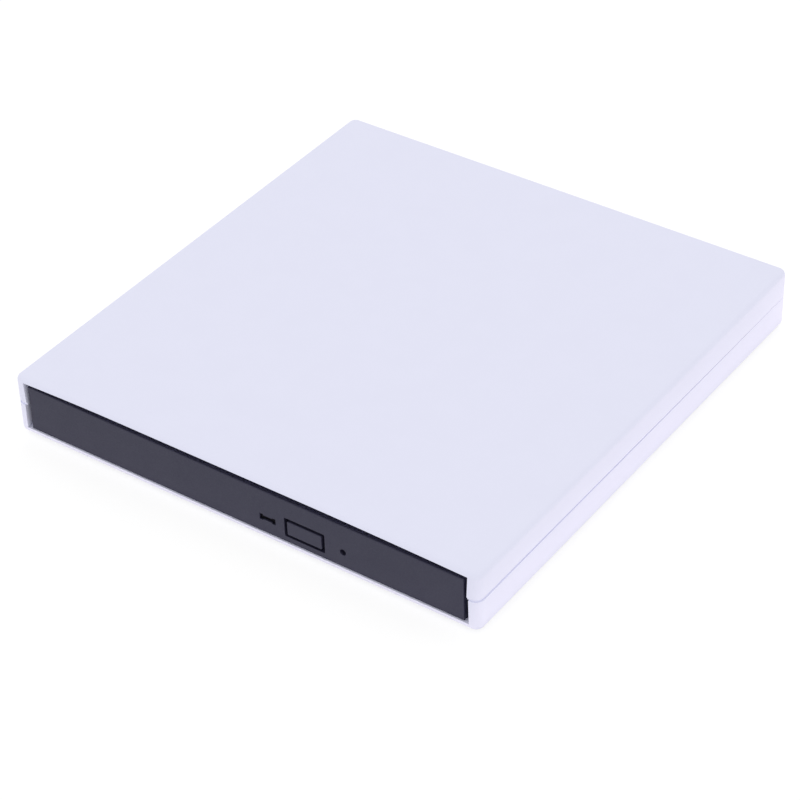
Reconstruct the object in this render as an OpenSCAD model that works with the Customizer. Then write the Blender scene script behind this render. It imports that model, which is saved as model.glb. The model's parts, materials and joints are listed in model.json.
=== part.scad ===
// External slim disc drive: a two-shell case round a tray drive with its whole mechanism.
// Sizes in millimetres. Front is -Y, right is +X seen from the front, up is +Z,
// and z = 0 is the table under the feet.

/* [Drive] */
// Width over the bezel and the drive's cover
drive_w = 128; // [128:0.5:136]
// Height of the drive
drive_h = 12.7; // [12.7:0.1:15]
// Depth of the drive with its bezel
drive_d = 127.7; // [127.2:0.5:140]
// Depth of the bezel
bezel_t = 4.9; // [4.4:0.1:5.2]
// Thickness of the bezel's face
bezel_face = 2; // [1.4:0.1:2.4]
// Thickness of the rim behind the bezel's face
bezel_rim = 0.9; // [0.7:0.05:1.1]
// Sheet of the drive's pan
pan_t = 0.8; // [0.5:0.05:1]
// Sheet of the drive's cover
cover_t = 0.6; // [0.4:0.05:0.8]
// Diameter of the disc that the tray takes
disc_d = 120; // [110:1:120]

/* [Case] */
// Air between the drive and a side wall
side_air = 2; // [1.6:0.1:6]
// Room behind the drive for the bridge board
rear_bay = 12; // [12:0.5:30]
// Thickness of the side and rear walls
wall = 2; // [1.8:0.1:3]
// Thickness of the floor and the roof
skin = 1.5; // [1.2:0.1:2.5]
// Height of the ribs under the drive
rib_under = 0.4; // [0.3:0.05:1]
// Height of the ribs over the drive
rib_over = 0.7; // [0.4:0.05:1.5]
// How far the bezel's face lies behind the case's front
recess = 0.3; // [0.2:0.1:1.4]
// Gap beside the bezel in the case's mouth
mouth_gap = 1; // [0.3:0.05:1.2]
// Thickness of the roof's lip over the mouth
lip_t = 0.8; // [0.7:0.05:1.5]
// Plan radius of the case's upright corners
corner_r = 2.2; // [1.7:0.1:3.8]
// Round along the case's top edge
top_round = 1.5; // [0.8:0.1:2.1]
// Round along the case's bottom edge
bottom_round = 1.5; // [0.8:0.1:2.1]
// Height of the parting line over the case's underside
parting_h = 8.8; // [8.6:0.1:10.5]
// Height of the reveal groove at the parting line
reveal_h = 0.5; // [0.2:0.05:0.6]
// Depth of the reveal groove
reveal_d = 0.35; // [0.2:0.05:0.6]
// Height of the tongue that the shells meet with
tongue_h = 1; // [0.6:0.1:1.4]
// Thickness of that tongue
tongue_t = 0.8; // [0.6:0.05:0.9]

/* [Feet and screws] */
// Radius of a foot
foot_r = 5; // [3:0.5:7]
// How far a foot stands out under the case
foot_proud = 0.8; // [0.5:0.1:2]
// How deep a foot sits in its pocket
foot_sink = 0.7; // [0.4:0.05:0.8]
// Distance of the feet from the case's sides
foot_in_x = 16; // [10:1:30]
// Distance of the feet from the case's front and back
foot_in_y = 15; // [12:1:15]
// Radius of the case screws' shanks
screw_r = 1; // [0.7:0.05:1.1]

/* [Tray] */
// Thickness of the plate under the disc
deck_t = 0.9; // [0.8:0.05:1]
// Height of the tray's rim over the disc's floor
rim_h = 2.5; // [1.5:0.1:3]
// Thickness of the tray's side walls
tray_wall = 2.6; // [2.2:0.1:3]
// Thickness of the tray's front wall
front_t = 1.4; // [1:0.1:1.6]
// Thickness of a rail guide
guide_t = 1.7; // [1.5:0.05:1.8]
// Length of a steel rail
rail_l = 100; // [80:1:112]
// Height of a steel rail
rail_h = 3; // [2:0.1:3.2]

/* [Front controls] */
// Height of the controls over the drive's underside
control_z = 4.35; // [4.2:0.05:4.6]
// Place of the light along the bezel
led_x = 8.8; // [7:0.1:9.6]
// Place of the button along the bezel
button_x = 19.5; // [19:0.1:20]
// Width of the button
button_w = 9.9; // [8:0.1:10.5]
// Height of the button
button_h = 3.9; // [3:0.1:4.2]
// Gap round the button
button_gap = 0.8; // [0.3:0.05:0.9]
// Length of the light's window
led_w = 4.5; // [3:0.1:5]
// Height of the light's window
led_h = 1.05; // [0.6:0.05:1.2]
// Width of the taller tick at each end of that window
tick_w = 0.9; // [0.6:0.05:1.2]
// Height of those ticks
tick_h = 1.6; // [1.25:0.05:1.8]
// Place of the pinhole along the bezel
pin_x = 30.45; // [29:0.05:32]
// Radius of the pinhole
pin_r = 0.85; // [0.5:0.05:1]

/* [Mechanism] */
// Radius of the hub that the disc is pressed on
hub_r = 7.4; // [7:0.05:7.45]
// Radius of the turntable
table_r = 13.5; // [12.5:0.1:13.8]
// Radius of the spindle motor's rotor
rotor_r = 11.5; // [10.5:0.1:11.8]
// Radius of the spindle's shaft
shaft_r = 0.8; // [0.6:0.05:1]
// Radius of the two guide rods
rod_r = 0.9; // [0.7:0.05:0.95]
// Place of a guide rod beside the pickup's line
rod_v = 11.5; // [11:0.1:11.8]
// Pitch of the lead screw
screw_pitch = 3; // [2:0.5:4]
// Radius of the objective lens
lens_r = 1.9; // [1.5:0.05:2.2]
// Width of the ribbon cable
ribbon_w = 14; // [8:0.5:15]

/* [Sockets] */
// Width of the rear socket's shell
usb_w = 7.7; // [7:0.1:8.5]
// Height of the rear socket's shell
usb_h = 3.9; // [3.2:0.1:4.4]
// Depth of the rear socket's shell
usb_l = 9.2; // [8:0.1:9.4]
// Place of the rear socket along the back
usb_x = 8; // [6:0.5:14]

/* [Hidden] */
$fn = 48;
tiny = 0.01;
fit = 0.2;
slide = 0.3;
turn = 0.05;
lap = 0.5;

case_w = drive_w + 2 * (side_air + wall);
case_d = recess + drive_d + rear_bay + wall;
case_h = drive_h + rib_under + rib_over + 2 * skin;
z_case = foot_proud;
z_top = z_case + case_h;
z_floor = z_case + skin;
z_roof = z_top - skin;
z_mouth = max(z_roof, z_top - lip_t);
z_part = z_case + parting_h;
z_drive = z_floor + rib_under;
mouth_w = drive_w + 2 * mouth_gap;
in_w = case_w - 2 * wall;
in_d = case_d - 2 * wall;
in_r = corner_r - wall > 0.5 ? corner_r - wall : 0.5;

y_front = -case_d / 2;
y_wall = case_d / 2 - wall;
y_face = y_front + recess;
y_back = y_face + bezel_t;
y_rear = y_face + drive_d;
pan_end = y_rear - pan_t;
spindle_y = y_back + 1.2 + disc_d / 2;

half = drive_w / 2;
flange_in = half - cover_t;
pan_out = flange_in - fit;
pan_in = pan_out - pan_t;
guide_in = pan_in - guide_t;
tray_half = guide_in - slide;
rail_bite = 1;
rail_out = guide_in + rail_bite;
rail_in = tray_half - rail_bite;
rail_z = 6;
tray_in = tray_half - tray_wall;
// the mechanism's plan keeps to the smaller of the disc and the drive
mk = min(disc_d / 120, drive_w / 128);
keep_x = half - 19;
stop_x = half - 11;

tray_lo = 1.6;
deck_lo = 6.8;
deck_hi = deck_lo + deck_t;
tray_hi = deck_hi + rim_h;
tray_end = pan_end - 4.2;
wall_in = y_back + front_t;
cover_lo = drive_h - cover_t;
shield_t = 0.3;

board_t = 0.8;
main_z = 1.6;
main_top = main_z + board_t;
main_y1 = pan_end - 0.7;
main_y0 = spindle_y + 28.6;
main_d = main_y1 - main_y0;
main_x0 = 16.4 - pan_in;
main_x1 = pan_in - 5.4;
front_z = 1.7;
front_top = front_z + board_t;
rib_x = 17;
rib_t = 1.2;

post_x = 20;
post_y = y_back + 18.8;
post_r = 1.25;
lever_x = 25.5;
lever_y = post_y + 11;
lever_lo = 2.4;
lever_hi = 4.6;
pivot_r = 1;

plate_z = 2.7;
plate_t = 1;
plate_top = plate_z + plate_t;
base_t = 0.5;
base_top = plate_top + base_t;
rotor_top = 7.1;
table_t = 0.8;
table_top = rotor_top + table_t;
pad_t = 0.4;
disc_z = table_top + pad_t;
hub_top = disc_z + 1.6;
bush_r = 2.5;
rod_z = 5.3;
sled_lo = 4;
sled_hi = 6.6;
sled_u0 = 13.9 * mk;
sled_u1 = 30.9 * mk;
sled_v = 14 * mk;
sled_go = 33 * mk;
lens_u = 24 * mk;
rod_at = rod_v * mk;
lens_hole = lens_r + turn;
screw_v = -19.5 * mk;
screw_z = 4.9;
screw_core = 0.85;
screw_lift = 0.25;
screw_u0 = 9.3 * mk;
screw_u1 = 54.5 * mk;
journal_r = 0.6;
motor_r = 1.85;
damper_at = mk * [[-13, -14], [68, 0], [16, 18.5]];
damper_r = 2.6;
damper_lo = plate_z - 0.55;
damper_hi = plate_top + 0.9;

plunger_x = 4.8 - tray_in;
plunger_z = 4.9;
plunger_y = tray_end - 23.8;
plunger_bore = 1.5;
spring_l = 7;

bridge_z = z_floor + 1;
bridge_top = bridge_z + 1;
bridge_y0 = y_rear + 0.6;
bridge_y1 = y_wall - 0.4;
link_x0 = -41;
link_x1 = -10;
link_lo = main_top;
link_hi = main_top + 4;
boss_x = case_w / 2 - 7.5;
boss_y = y_wall - 5.5;
boss_r = 2.6;
ribbon_x = tray_in - 2.8 - ribbon_w;
ribbon_t = 0.2;

white = [0.93, 0.93, 0.95];
black = [0.14, 0.14, 0.16];
dark = [0.25, 0.25, 0.28];
steel = [0.72, 0.73, 0.75];
bright = [0.85, 0.86, 0.88];
green = [0.1, 0.36, 0.2];
rubber = [0.2, 0.2, 0.2];
brass = [0.8, 0.65, 0.3];
copper = [0.72, 0.42, 0.22];
clear = [0.55, 0.6, 0.75];

// A box from its six faces
module box(x0, x1, y0, y1, z0, z1) {
  translate([x0, y0, z0]) cube([x1 - x0, y1 - y0, z1 - z0]);
}

// A round bar along +Y
module rod_y(r, length) {
  rotate([-90, 0, 0]) cylinder(h = length, r = r);
}

// A round bar along +X
module rod_x(r, length) {
  rotate([0, 90, 0]) cylinder(h = length, r = r);
}

// Heights from the drive's underside
module in_drive() {
  translate([0, 0, z_drive]) children();
}

// The pickup's own axes: +X runs outwards along the pickup's line from the spindle
module in_line() {
  translate([0, spindle_y, z_drive]) rotate([0, 0, 225]) children();
}

// A box with rounded upright corners
module slab(w, d, h, r) {
  translate([-w / 2 + r, -d / 2, 0]) cube([w - 2 * r, d, h]);
  translate([-w / 2, -d / 2 + r, 0]) cube([w, d - 2 * r, h]);
  for (sx = [-1, 1], sy = [-1, 1])
    translate([sx * (w / 2 - r), sy * (d / 2 - r), 0]) cylinder(h = h, r = r);
}

// One quarter turn of the rounded edge at an upright corner
module corner_turn(r, e) {
  rotate_extrude() union() {
    translate([0, -lap]) square([r, lap]);
    square([r - e, e]);
    translate([r - e, 0]) intersection() {
      circle(e);
      square(e);
    }
  }
}

// The straight run of a rounded edge, as wide as w over both edges
module edge_run(w, e) {
  translate([-w / 2, -lap]) square([w, lap]);
  translate([-w / 2 + e, 0]) square([w - 2 * e, e]);
  for (s = [0, 1])
    mirror([s, 0]) translate([w / 2 - e, 0]) intersection() {
      circle(e);
      square(e);
    }
}

// A slab whose top edge is rounded by e
module rounded_slab(w, d, h, r, e) {
  slab(w, d, h - e, r);
  translate([0, 0, h - e]) {
    translate([0, d / 2 - r, 0]) rotate([90, 0, 0]) linear_extrude(d - 2 * r) edge_run(w, e);
    translate([-w / 2 + r, 0, 0]) rotate([90, 0, 90]) linear_extrude(w - 2 * r) edge_run(d, e);
    for (sx = [-1, 1], sy = [-1, 1])
      translate([sx * (w / 2 - r), sy * (d / 2 - r), 0]) corner_turn(r, e);
  }
}

// The mouth in the case's front that the drive looks out of
module mouth() {
  box(-mouth_w / 2, mouth_w / 2, y_front - 1, y_front + wall + 0.5, z_floor, z_mouth);
}

module top_shell() color(white) difference() {
  union() {
    difference() {
      translate([0, 0, z_part])
        rounded_slab(case_w, case_d, z_top - z_part, corner_r, top_round);
      translate([0, 0, z_part - 1]) slab(in_w, in_d, z_roof - z_part + 1, in_r);
      mouth();
      // rebate that takes the bottom shell's tongue
      translate([0, 0, z_part - 1])
        slab(in_w + 2 * tongue_t + 0.2, in_d + 2 * tongue_t + 0.2, tongue_h + 1.1, in_r + tongue_t);
      // reveal groove round the outside
      translate([0, 0, z_part - 1]) difference() {
        slab(case_w + 2, case_d + 2, reveal_h + 1, corner_r + 1);
        translate([0, 0, -1])
          slab(case_w - 2 * reveal_d, case_d - 2 * reveal_d, reveal_h + 3, corner_r - reveal_d);
      }
    }
    // ribs that hold the drive down
    for (s = [-1, 1])
      box(s * keep_x - 1.5, s * keep_x + 1.5, y_back + 16, y_rear - 2, z_roof - rib_over, z_roof + 0.2);
    // ribs that keep the drive in the middle
    for (s = [0, 1], y = [-28, 22])
      mirror([s, 0, 0])
        box(half + 0.1, in_w / 2 + 0.2, y, y + 3, z_part + tongue_h + 0.5, z_roof + 0.2);
    // screw bosses
    for (s = [-1, 1])
      translate([s * boss_x, boss_y, z_floor + 4]) cylinder(h = z_roof - z_floor - 3.8, r = boss_r);
  }
  for (s = [-1, 1])
    translate([s * boss_x, boss_y, z_floor]) cylinder(h = z_roof - z_floor - 1, r = screw_r + turn);
}

module bottom_shell() color(white) difference() {
  union() {
    difference() {
      union() {
        translate([0, 0, z_part]) mirror([0, 0, 1])
          rounded_slab(case_w, case_d, z_part - z_case, corner_r, bottom_round);
        // tongue
        translate([0, 0, z_part - 0.5])
          slab(in_w + 2 * tongue_t, in_d + 2 * tongue_t, tongue_h + 0.5, in_r + tongue_t);
      }
      translate([0, 0, z_floor]) slab(in_w, in_d, case_h, in_r);
      mouth();
      // rear socket's window
      box(usb_x - usb_w / 2 - slide, usb_x + usb_w / 2 + slide, y_wall - 1, y_wall + wall + 1,
        bridge_top - slide, bridge_top + usb_h + slide);
      // foot pockets
      for (sx = [-1, 1], sy = [-1, 1])
        translate([sx * (case_w / 2 - foot_in_x), sy * (case_d / 2 - foot_in_y), z_case - 1])
          cylinder(h = foot_sink + 1, r = foot_r + turn);
    }
    // ribs that carry the drive
    for (s = [-1, 1])
      box(s * keep_x - 1.5, s * keep_x + 1.5, y_back + 6, y_rear - 2, z_floor - 0.2, z_drive);
    // stops behind the drive
    for (s = [-1, 1])
      box(s * stop_x - 2, s * stop_x + 2, y_rear + 0.1, y_rear + 1.8, z_floor - 0.2, z_floor + 6);
    // posts and pegs of the bridge board
    for (x = [link_x0 + 2, usb_x + 9]) translate([x, y_rear + 9.5, z_floor - 0.2]) {
      cylinder(h = bridge_z - z_floor + 0.2, r = 2);
      cylinder(h = bridge_top - z_floor + 0.6, r = 0.8);
    }
    // screw bosses
    for (s = [-1, 1])
      translate([s * boss_x, boss_y, z_floor - 0.2]) cylinder(h = 4.2, r = boss_r);
  }
  for (s = [-1, 1]) translate([s * boss_x, boss_y, z_case - 1]) {
    cylinder(h = 8, r = screw_r + fit);
    cylinder(h = 3.4, r = 2.1);
  }
}

module rubber_feet() color(rubber)
  for (sx = [-1, 1], sy = [-1, 1])
    translate([sx * (case_w / 2 - foot_in_x), sy * (case_d / 2 - foot_in_y), 0])
      cylinder(h = foot_proud + foot_sink, r = foot_r);

module case_screws() color(steel)
  for (s = [-1, 1]) translate([s * boss_x, boss_y, z_case + 1.2]) difference() {
    union() {
      cylinder(h = 1.2, r = 1.9);
      cylinder(h = 9, r = screw_r);
    }
    for (a = [0, 90]) rotate([0, 0, a]) box(-1.2, 1.2, -0.25, 0.25, -1, 0.7);
  }

module bridge_board() color(green) difference() {
  box(link_x0 - 2, usb_x + 14, bridge_y0, bridge_y1, bridge_z, bridge_top);
  for (x = [link_x0 + 2, usb_x + 9]) translate([x, y_rear + 9.5, bridge_z - 1]) cylinder(h = 3, r = 0.85);
}

module bridge_socket() color(white) difference() {
  box(link_x0, link_x1, y_rear + 0.7, y_rear + 6.4, bridge_top, z_drive + link_hi);
  box(link_x0 + 2.8, link_x1 - 2.8, y_rear, y_rear + 4, z_drive + link_lo + 1.3,
    z_drive + link_lo + 2.9);
}

module bridge_chips() color(black) {
  box(usb_x + 6, usb_x + 12, y_rear + 1.6, y_rear + 7.6, bridge_top, bridge_top + 1.2);
  box(link_x1 + 3, link_x1 + 7.5, y_rear + 2, y_rear + 5.4, bridge_top, bridge_top + 1.6);
  for (x = [link_x1 + 4, link_x1 + 9]) translate([x, y_rear + 8.6, bridge_top]) cylinder(h = 4.5, r = 1.9);
}

module usb_shell() color(bright) difference() {
  box(usb_x - usb_w / 2, usb_x + usb_w / 2, y_wall + wall - 0.6 - usb_l, y_wall + wall - 0.6,
    bridge_top, bridge_top + usb_h);
  box(usb_x - usb_w / 2 + 0.4, usb_x + usb_w / 2 - 0.4, y_wall + wall + 0.6 - usb_l,
    y_wall + wall, bridge_top + 0.4, bridge_top + usb_h - 0.4);
}

module usb_contacts() color(black) {
  box(usb_x - usb_w / 2 + 0.45, usb_x + usb_w / 2 - 0.45, y_wall + wall + 0.6 - usb_l,
    y_wall + wall + 2.4 - usb_l, bridge_top + 0.45, bridge_top + usb_h - 0.45);
  box(usb_x - 2.4, usb_x + 2.4, y_wall + wall + 2.4 - usb_l, y_wall + wall - 1.6,
    bridge_top + usb_h / 2 - 0.4, bridge_top + usb_h / 2 + 0.4);
}

module drive_pan() color(steel) in_drive() difference() {
  union() {
    box(-pan_out, pan_out, y_back + 0.4, y_rear, 0, pan_t);
    for (s = [0, 1]) mirror([s, 0, 0])
      box(pan_in, pan_out, y_back + 0.4, y_rear, 0, cover_lo);
    box(-pan_out, pan_out, pan_end, y_rear, 0, cover_lo);
    // posts of the main board
    for (x = [main_x0 + 6, 8, main_x1 - 27], y = [main_y0 + 4, main_y1 - 3])
      translate([x, y, pan_t - 0.2]) cylinder(h = main_z - pan_t + 0.2, r = 1.8);
  }
  // way out for the connector
  box(link_x0 - 1, link_x1 + 1, pan_end - 1, y_rear + 1, link_lo - 0.3, link_hi + 0.4);
  // holes of the cover screws
  for (s = [0, 1], y = [-40, 40]) mirror([s, 0, 0])
    translate([pan_in - 1, y, cover_lo - 1.6]) rod_x(0.85, 3);
  // riveted foot of the lock post
  translate([post_x, post_y, -1]) cylinder(h = 3, r = 0.8);
}

module drive_cover() color(bright) in_drive() difference() {
  union() {
    box(-half, half, y_back + 0.4, y_rear, cover_lo, drive_h);
    for (s = [0, 1]) mirror([s, 0, 0])
      box(flange_in, half, y_back + 0.4, y_rear, 4, drive_h);
  }
  for (s = [0, 1], y = [-40, 40]) mirror([s, 0, 0])
    translate([flange_in - 1, y, cover_lo - 1.6]) rod_x(0.9, 3);
}

module cover_screws() color(steel) in_drive()
  for (s = [0, 1], y = [-40, 40]) mirror([s, 0, 0]) translate([0, y, cover_lo - 1.6]) {
    translate([half, 0, 0]) rod_x(1.4, 0.5);
    translate([pan_in + 0.1, 0, 0]) rod_x(0.8, half - pan_in);
  }

module guide() difference() {
  box(guide_in, pan_in, y_back + 1, tray_end + 2, 3, 9);
  box(guide_in - 1, rail_out + 0.2, y_back, tray_end + 1, rail_z - rail_h / 2 - 0.15,
    rail_z + rail_h / 2 + 0.15);
}

module guide_left() color(dark) in_drive() mirror([1, 0, 0]) guide();

module guide_right() color(dark) in_drive() guide();

module rail() {
  box(rail_in, rail_out, y_back + 3.8, y_back + 3.8 + rail_l, rail_z - rail_h / 2,
    rail_z + rail_h / 2);
}

module rail_left() color(bright) in_drive() mirror([1, 0, 0]) rail();

module rail_right() color(bright) in_drive() rail();

module main_board() color(green) in_drive()
  box(main_x0, main_x1, main_y0, main_y1, main_z, main_top);

module main_chips() color(black) in_drive() {
  box(-34, -20, main_y0 + 0.2 * main_d, main_y0 + 0.64 * main_d, main_top, main_top + 1.2);
  box(-6, 6, main_y0 + 0.25 * main_d, main_y0 + 0.63 * main_d, main_top, main_top + 1.2);
  box(16, 25, main_y0 + 0.29 * main_d, main_y0 + 0.48 * main_d, main_top, main_top + 1);
  box(ribbon_x - 1, ribbon_x + ribbon_w + 1, main_y0 + 1, main_y0 + 5, main_top + 0.7,
    main_top + 1.1);
  box(ribbon_x - 1, ribbon_x + ribbon_w + 1, main_y0 + 3.1, main_y0 + 5, main_top, main_top + 0.9);
}

module drive_connector() color(black) in_drive() {
  box(link_x0, link_x1, main_y1 - 4, y_rear + 0.5, link_lo, link_hi);
  box(link_x0 + 3, link_x1 - 3, y_rear + 0.4, y_rear + 3.6, link_lo + 1.5, link_lo + 2.7);
}

module lock_post() color(steel) in_drive() translate([post_x, post_y, 0]) {
  translate([0, 0, pan_t]) cylinder(h = lever_hi - pan_t, r = post_r);
  cylinder(h = 1, r = 0.75);
}

// The ribbon's middle line, seen from the side: from the main board forwards, round a
// bend and back to the tray's socket
bend_y = lever_y + 11;
socket_y = main_y0 + 14;
bend_r = 1.4;
ribbon_low = pan_t + 0.35;
ribbon_path = concat(
  [[main_y0 + 3, main_top + 0.55], [main_y0 - 1, main_top + 0.55], [main_y0 - 6, ribbon_low]],
  [for (i = [0 : 6]) [bend_y - bend_r * sin(i * 30), ribbon_low + bend_r * (1 - cos(i * 30))]],
  [[socket_y + 2, ribbon_low + 2 * bend_r]]);

function unit(v) = v / norm(v);
function side(p, i) =
  let (a = i > 0 ? unit(p[i] - p[i - 1]) : unit(p[1] - p[0]),
    b = i < len(p) - 1 ? unit(p[i + 1] - p[i]) : a,
    m = unit(a + b))
  [-m[1], m[0]] / (m * a);

module ribbon_cable() color(white) in_drive()
  translate([ribbon_x, 0, 0]) rotate([90, 0, 90]) linear_extrude(ribbon_w)
    polygon(concat(
      [for (i = [0 : len(ribbon_path) - 1]) ribbon_path[i] + side(ribbon_path, i) * ribbon_t / 2],
      [for (i = [len(ribbon_path) - 1 : -1 : 0])
        ribbon_path[i] - side(ribbon_path, i) * ribbon_t / 2]));

// Outline of the opening over the mechanism, shrunk by g
module mechanism_outline(g, h) {
  cylinder(h = h, r = 17 * mk - g);
  linear_extrude(h) polygon([[0, -15.4 * mk + g], [57 * mk - 0.4 * g, -15.4 * mk + g],
    [63 * mk - g, -9 * mk + 0.4 * g], [63 * mk - g, 9 * mk - 0.4 * g],
    [57 * mk - 0.4 * g, 15.4 * mk - g], [0, 15.4 * mk - g]]);
}

module tray() color(black) difference() {
  union() {
    in_drive() {
      for (s = [0, 1]) mirror([s, 0, 0])
        box(tray_in, tray_half, y_back, tray_end, tray_lo, tray_hi);
      box(-tray_half, tray_half, y_back, tray_end, deck_lo, tray_hi);
      box(-tray_half, tray_half, y_back, wall_in, tray_lo, tray_hi);
      // rib beside the lock post's way
      box(rib_x, rib_x + rib_t, wall_in + 7, spindle_y + 24.6, tray_lo, deck_lo + 0.2);
      // posts and pegs of the front board
      for (x = [5.5, 25]) translate([x, wall_in + 5.4, 0]) {
        translate([0, 0, front_top]) cylinder(h = deck_lo - front_top + 0.2, r = 1.5);
        translate([0, 0, front_z - 0.2]) cylinder(h = 3, r = 0.7);
      }
      // pivot of the lock lever
      translate([lever_x, lever_y, 0]) {
        translate([0, 0, lever_hi + turn]) cylinder(h = deck_lo - lever_hi + 0.1, r = 2);
        translate([0, 0, lever_lo - 0.5]) cylinder(h = 3.5, r = pivot_r);
      }
    }
    // bosses of the damper screws
    in_line() for (p = damper_at)
      translate([p[0], p[1], damper_hi]) cylinder(h = deck_lo - damper_hi + 0.2, r = 2);
  }
  in_drive() {
    // disc's place and the relief beside it
    translate([0, spindle_y, deck_hi]) cylinder(h = 10, r = disc_d / 2 + 0.5, $fn = 96);
    for (s = [0, 1]) mirror([s, 0, 0])
      box(tray_in - 6, tray_half + 1, spindle_y - 20, spindle_y + 20, deck_hi, tray_hi + 1);
    // rail grooves
    for (s = [0, 1]) mirror([s, 0, 0])
      box(rail_in - 0.2, tray_half + 1, y_back + 2.6, tray_end + 1, rail_z - rail_h / 2 - 0.15,
        rail_z + rail_h / 2 + 0.15);
    // ways through the front wall
    box(led_x - led_w / 2 - 0.2, led_x + led_w / 2 + 0.2, y_back - 1, wall_in + 0.5,
      control_z - tick_h / 2 - 0.15, control_z + tick_h / 2 + 0.15);
    box(button_x - 1.8, button_x + 1.8, y_back - 1, wall_in + 0.5, control_z - 0.95,
      control_z + 1.3);
    translate([pin_x, y_back - 1, control_z]) rod_y(pin_r + 0.25, front_t + 2);
    for (x = [-44, -8, 44])
      box(x - 3.2, x + 3.2, y_back - 1, wall_in + 0.5, 3.3, 4.9);
  }
  in_line() {
    translate([0, 0, deck_hi - 0.5]) mechanism_outline(0, 1);
    translate([0, 0, deck_lo - 1]) mechanism_outline(1, 3);
    for (p = damper_at) translate([p[0], p[1], damper_hi - 1]) cylinder(h = 2.8, r = 0.8);
  }
}

module bezel() color(black) in_drive() difference() {
  union() {
    difference() {
      box(-half, half, y_face, y_back, 0, drive_h);
      box(-half + bezel_rim, half - bezel_rim, y_face + bezel_face, y_back + 1, bezel_rim,
        drive_h - bezel_rim);
    }
    // posts that meet the tray, with the tabs that hold it there
    for (x = [-44, -8, 44]) {
      box(x - 3.6, x + 3.6, y_face + bezel_face - 0.2, y_back, 2.4, 9.6);
      box(x - 3, x + 3, y_back - 0.5, wall_in + 0.3, 3.5, 4.7);
    }
  }
  box(button_x - button_w / 2 - button_gap, button_x + button_w / 2 + button_gap, y_face - 1,
    y_face + bezel_face + 0.5, control_z - button_h / 2 - button_gap,
    control_z + button_h / 2 + button_gap);
  light_window(0.05, y_face - 1, y_face + bezel_face + 0.5);
  translate([pin_x, y_face - 1, control_z]) rod_y(pin_r, bezel_face + 2);
}

// The light's window: a bar with a taller tick at each end, grown by g
module light_window(g, y0, y1) {
  box(led_x - led_w / 2 - g, led_x + led_w / 2 + g, y0, y1, control_z - led_h / 2 - g,
    control_z + led_h / 2 + g);
  for (x = [led_x - led_w / 2, led_x + led_w / 2 - tick_w])
    box(x - g, x + tick_w + g, y0, y1, control_z - tick_h / 2 - g, control_z + tick_h / 2 + g);
}

module light_pipe() color(dark) in_drive() {
  light_window(0, y_face + 0.15, wall_in + 0.6);
}

module front_board() color(green) in_drive() difference() {
  box(3, 27.5, wall_in + 0.2, wall_in + 7, front_z, front_top);
  for (x = [5.5, 25]) translate([x, wall_in + 5.4, 0]) cylinder(h = 5, r = 0.75);
}

module eject_switch() color(dark) in_drive() difference() {
  box(button_x - 3, button_x + 3, wall_in + 2.9, wall_in + 6.4, front_top, control_z + 1.3);
  translate([button_x, wall_in + 2, control_z]) rod_y(0.8, 3);
}

module activity_led() color(white) in_drive()
  box(led_x - 0.8, led_x + 0.8, wall_in + 0.8, wall_in + 2, front_top, control_z + 0.4);

module bottom_shield() color(bright) in_drive()
  translate([0, 0, tray_lo - shield_t]) linear_extrude(shield_t)
    polygon([[-tray_half + 0.2, y_back + 0.3], [1.5, y_back + 0.3], [1.5, wall_in + 8],
      [rib_x + rib_t, wall_in + 8], [rib_x + rib_t, spindle_y + 26.6],
      [-tray_half + 0.2, spindle_y + 26.6]]);

module mechanism_cover() color(dark) in_line() difference() {
  translate([0, 0, deck_hi - 0.5]) mechanism_outline(0.15, 0.5);
  translate([0, 0, deck_lo]) cylinder(h = 2, r = table_r + 0.7);
  box(lens_u - 4.2, lens_u + sled_go + 4.2, -5.4, 5.4, deck_lo, deck_hi + 1);
}

module traverse_plate() color(steel) in_line() difference() {
  translate([0, 0, plate_z]) linear_extrude(plate_t)
    polygon(mk * [[-16, -17], [8.6, -17], [8.6, -23], [57, -23], [63, -15.5], [67.5, -12.5], [71.5, -4],
      [71.5, 4], [67.5, 13], [62.5, 15.5], [21.5, 15.5], [19.5, 21.5], [12.5, 21.5], [10.5, 15.5],
      [-7, 15.5], [-16, 6]]);
  box(17 * mk, 60 * mk, -8 * mk, 8 * mk, plate_z - 1, plate_top + 1);
  translate([0, 0, plate_z - 1]) cylinder(h = 3, r = bush_r + turn);
  for (p = damper_at) translate([p[0], p[1], plate_z - 1]) cylinder(h = 3, r = 1.75);
}

module dampers() color(rubber) in_line()
  for (p = damper_at) translate([p[0], p[1], 0]) difference() {
    union() {
      translate([0, 0, damper_lo]) cylinder(h = plate_z - damper_lo, r = damper_r);
      translate([0, 0, damper_lo]) cylinder(h = damper_hi - damper_lo, r = 1.7);
      translate([0, 0, plate_top]) cylinder(h = damper_hi - plate_top, r = damper_r);
    }
    cylinder(h = 10, r = 1);
  }

module damper_screws() color(steel) in_line()
  for (p = damper_at) translate([p[0], p[1], 0]) {
    translate([0, 0, damper_lo - 0.4]) cylinder(h = 0.4, r = 1.7);
    translate([0, 0, damper_lo - 0.1]) cylinder(h = damper_hi - damper_lo + 0.1, r = 0.95);
    translate([0, 0, damper_hi - 0.1]) cylinder(h = 1.7, r = 0.75);
  }

module motor_base() color(green) in_line() difference() {
  translate([0, 0, plate_top]) cylinder(h = base_t, r = 13 * mk);
  cylinder(h = 10, r = bush_r + turn);
}

module spindle_bearing() color(brass) in_line() difference() {
  translate([0, 0, plate_z]) cylinder(h = 3.2, r = bush_r);
  cylinder(h = 10, r = shaft_r + 0.03);
}

module spindle_stator() color(copper) in_line() difference() {
  // nine wound teeth round a core
  translate([0, 0, base_top]) linear_extrude(1.6)
    polygon([for (a = [0 : 40 : 320], p = [[4.6, -1.2], [rotor_r - 1.3, -1.2], [rotor_r - 1.3, 1.2],
      [4.6, 1.2]]) [p[0] * cos(a) - p[1] * sin(a), p[0] * sin(a) + p[1] * cos(a)]]);
  cylinder(h = 10, r = bush_r + turn);
}

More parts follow.
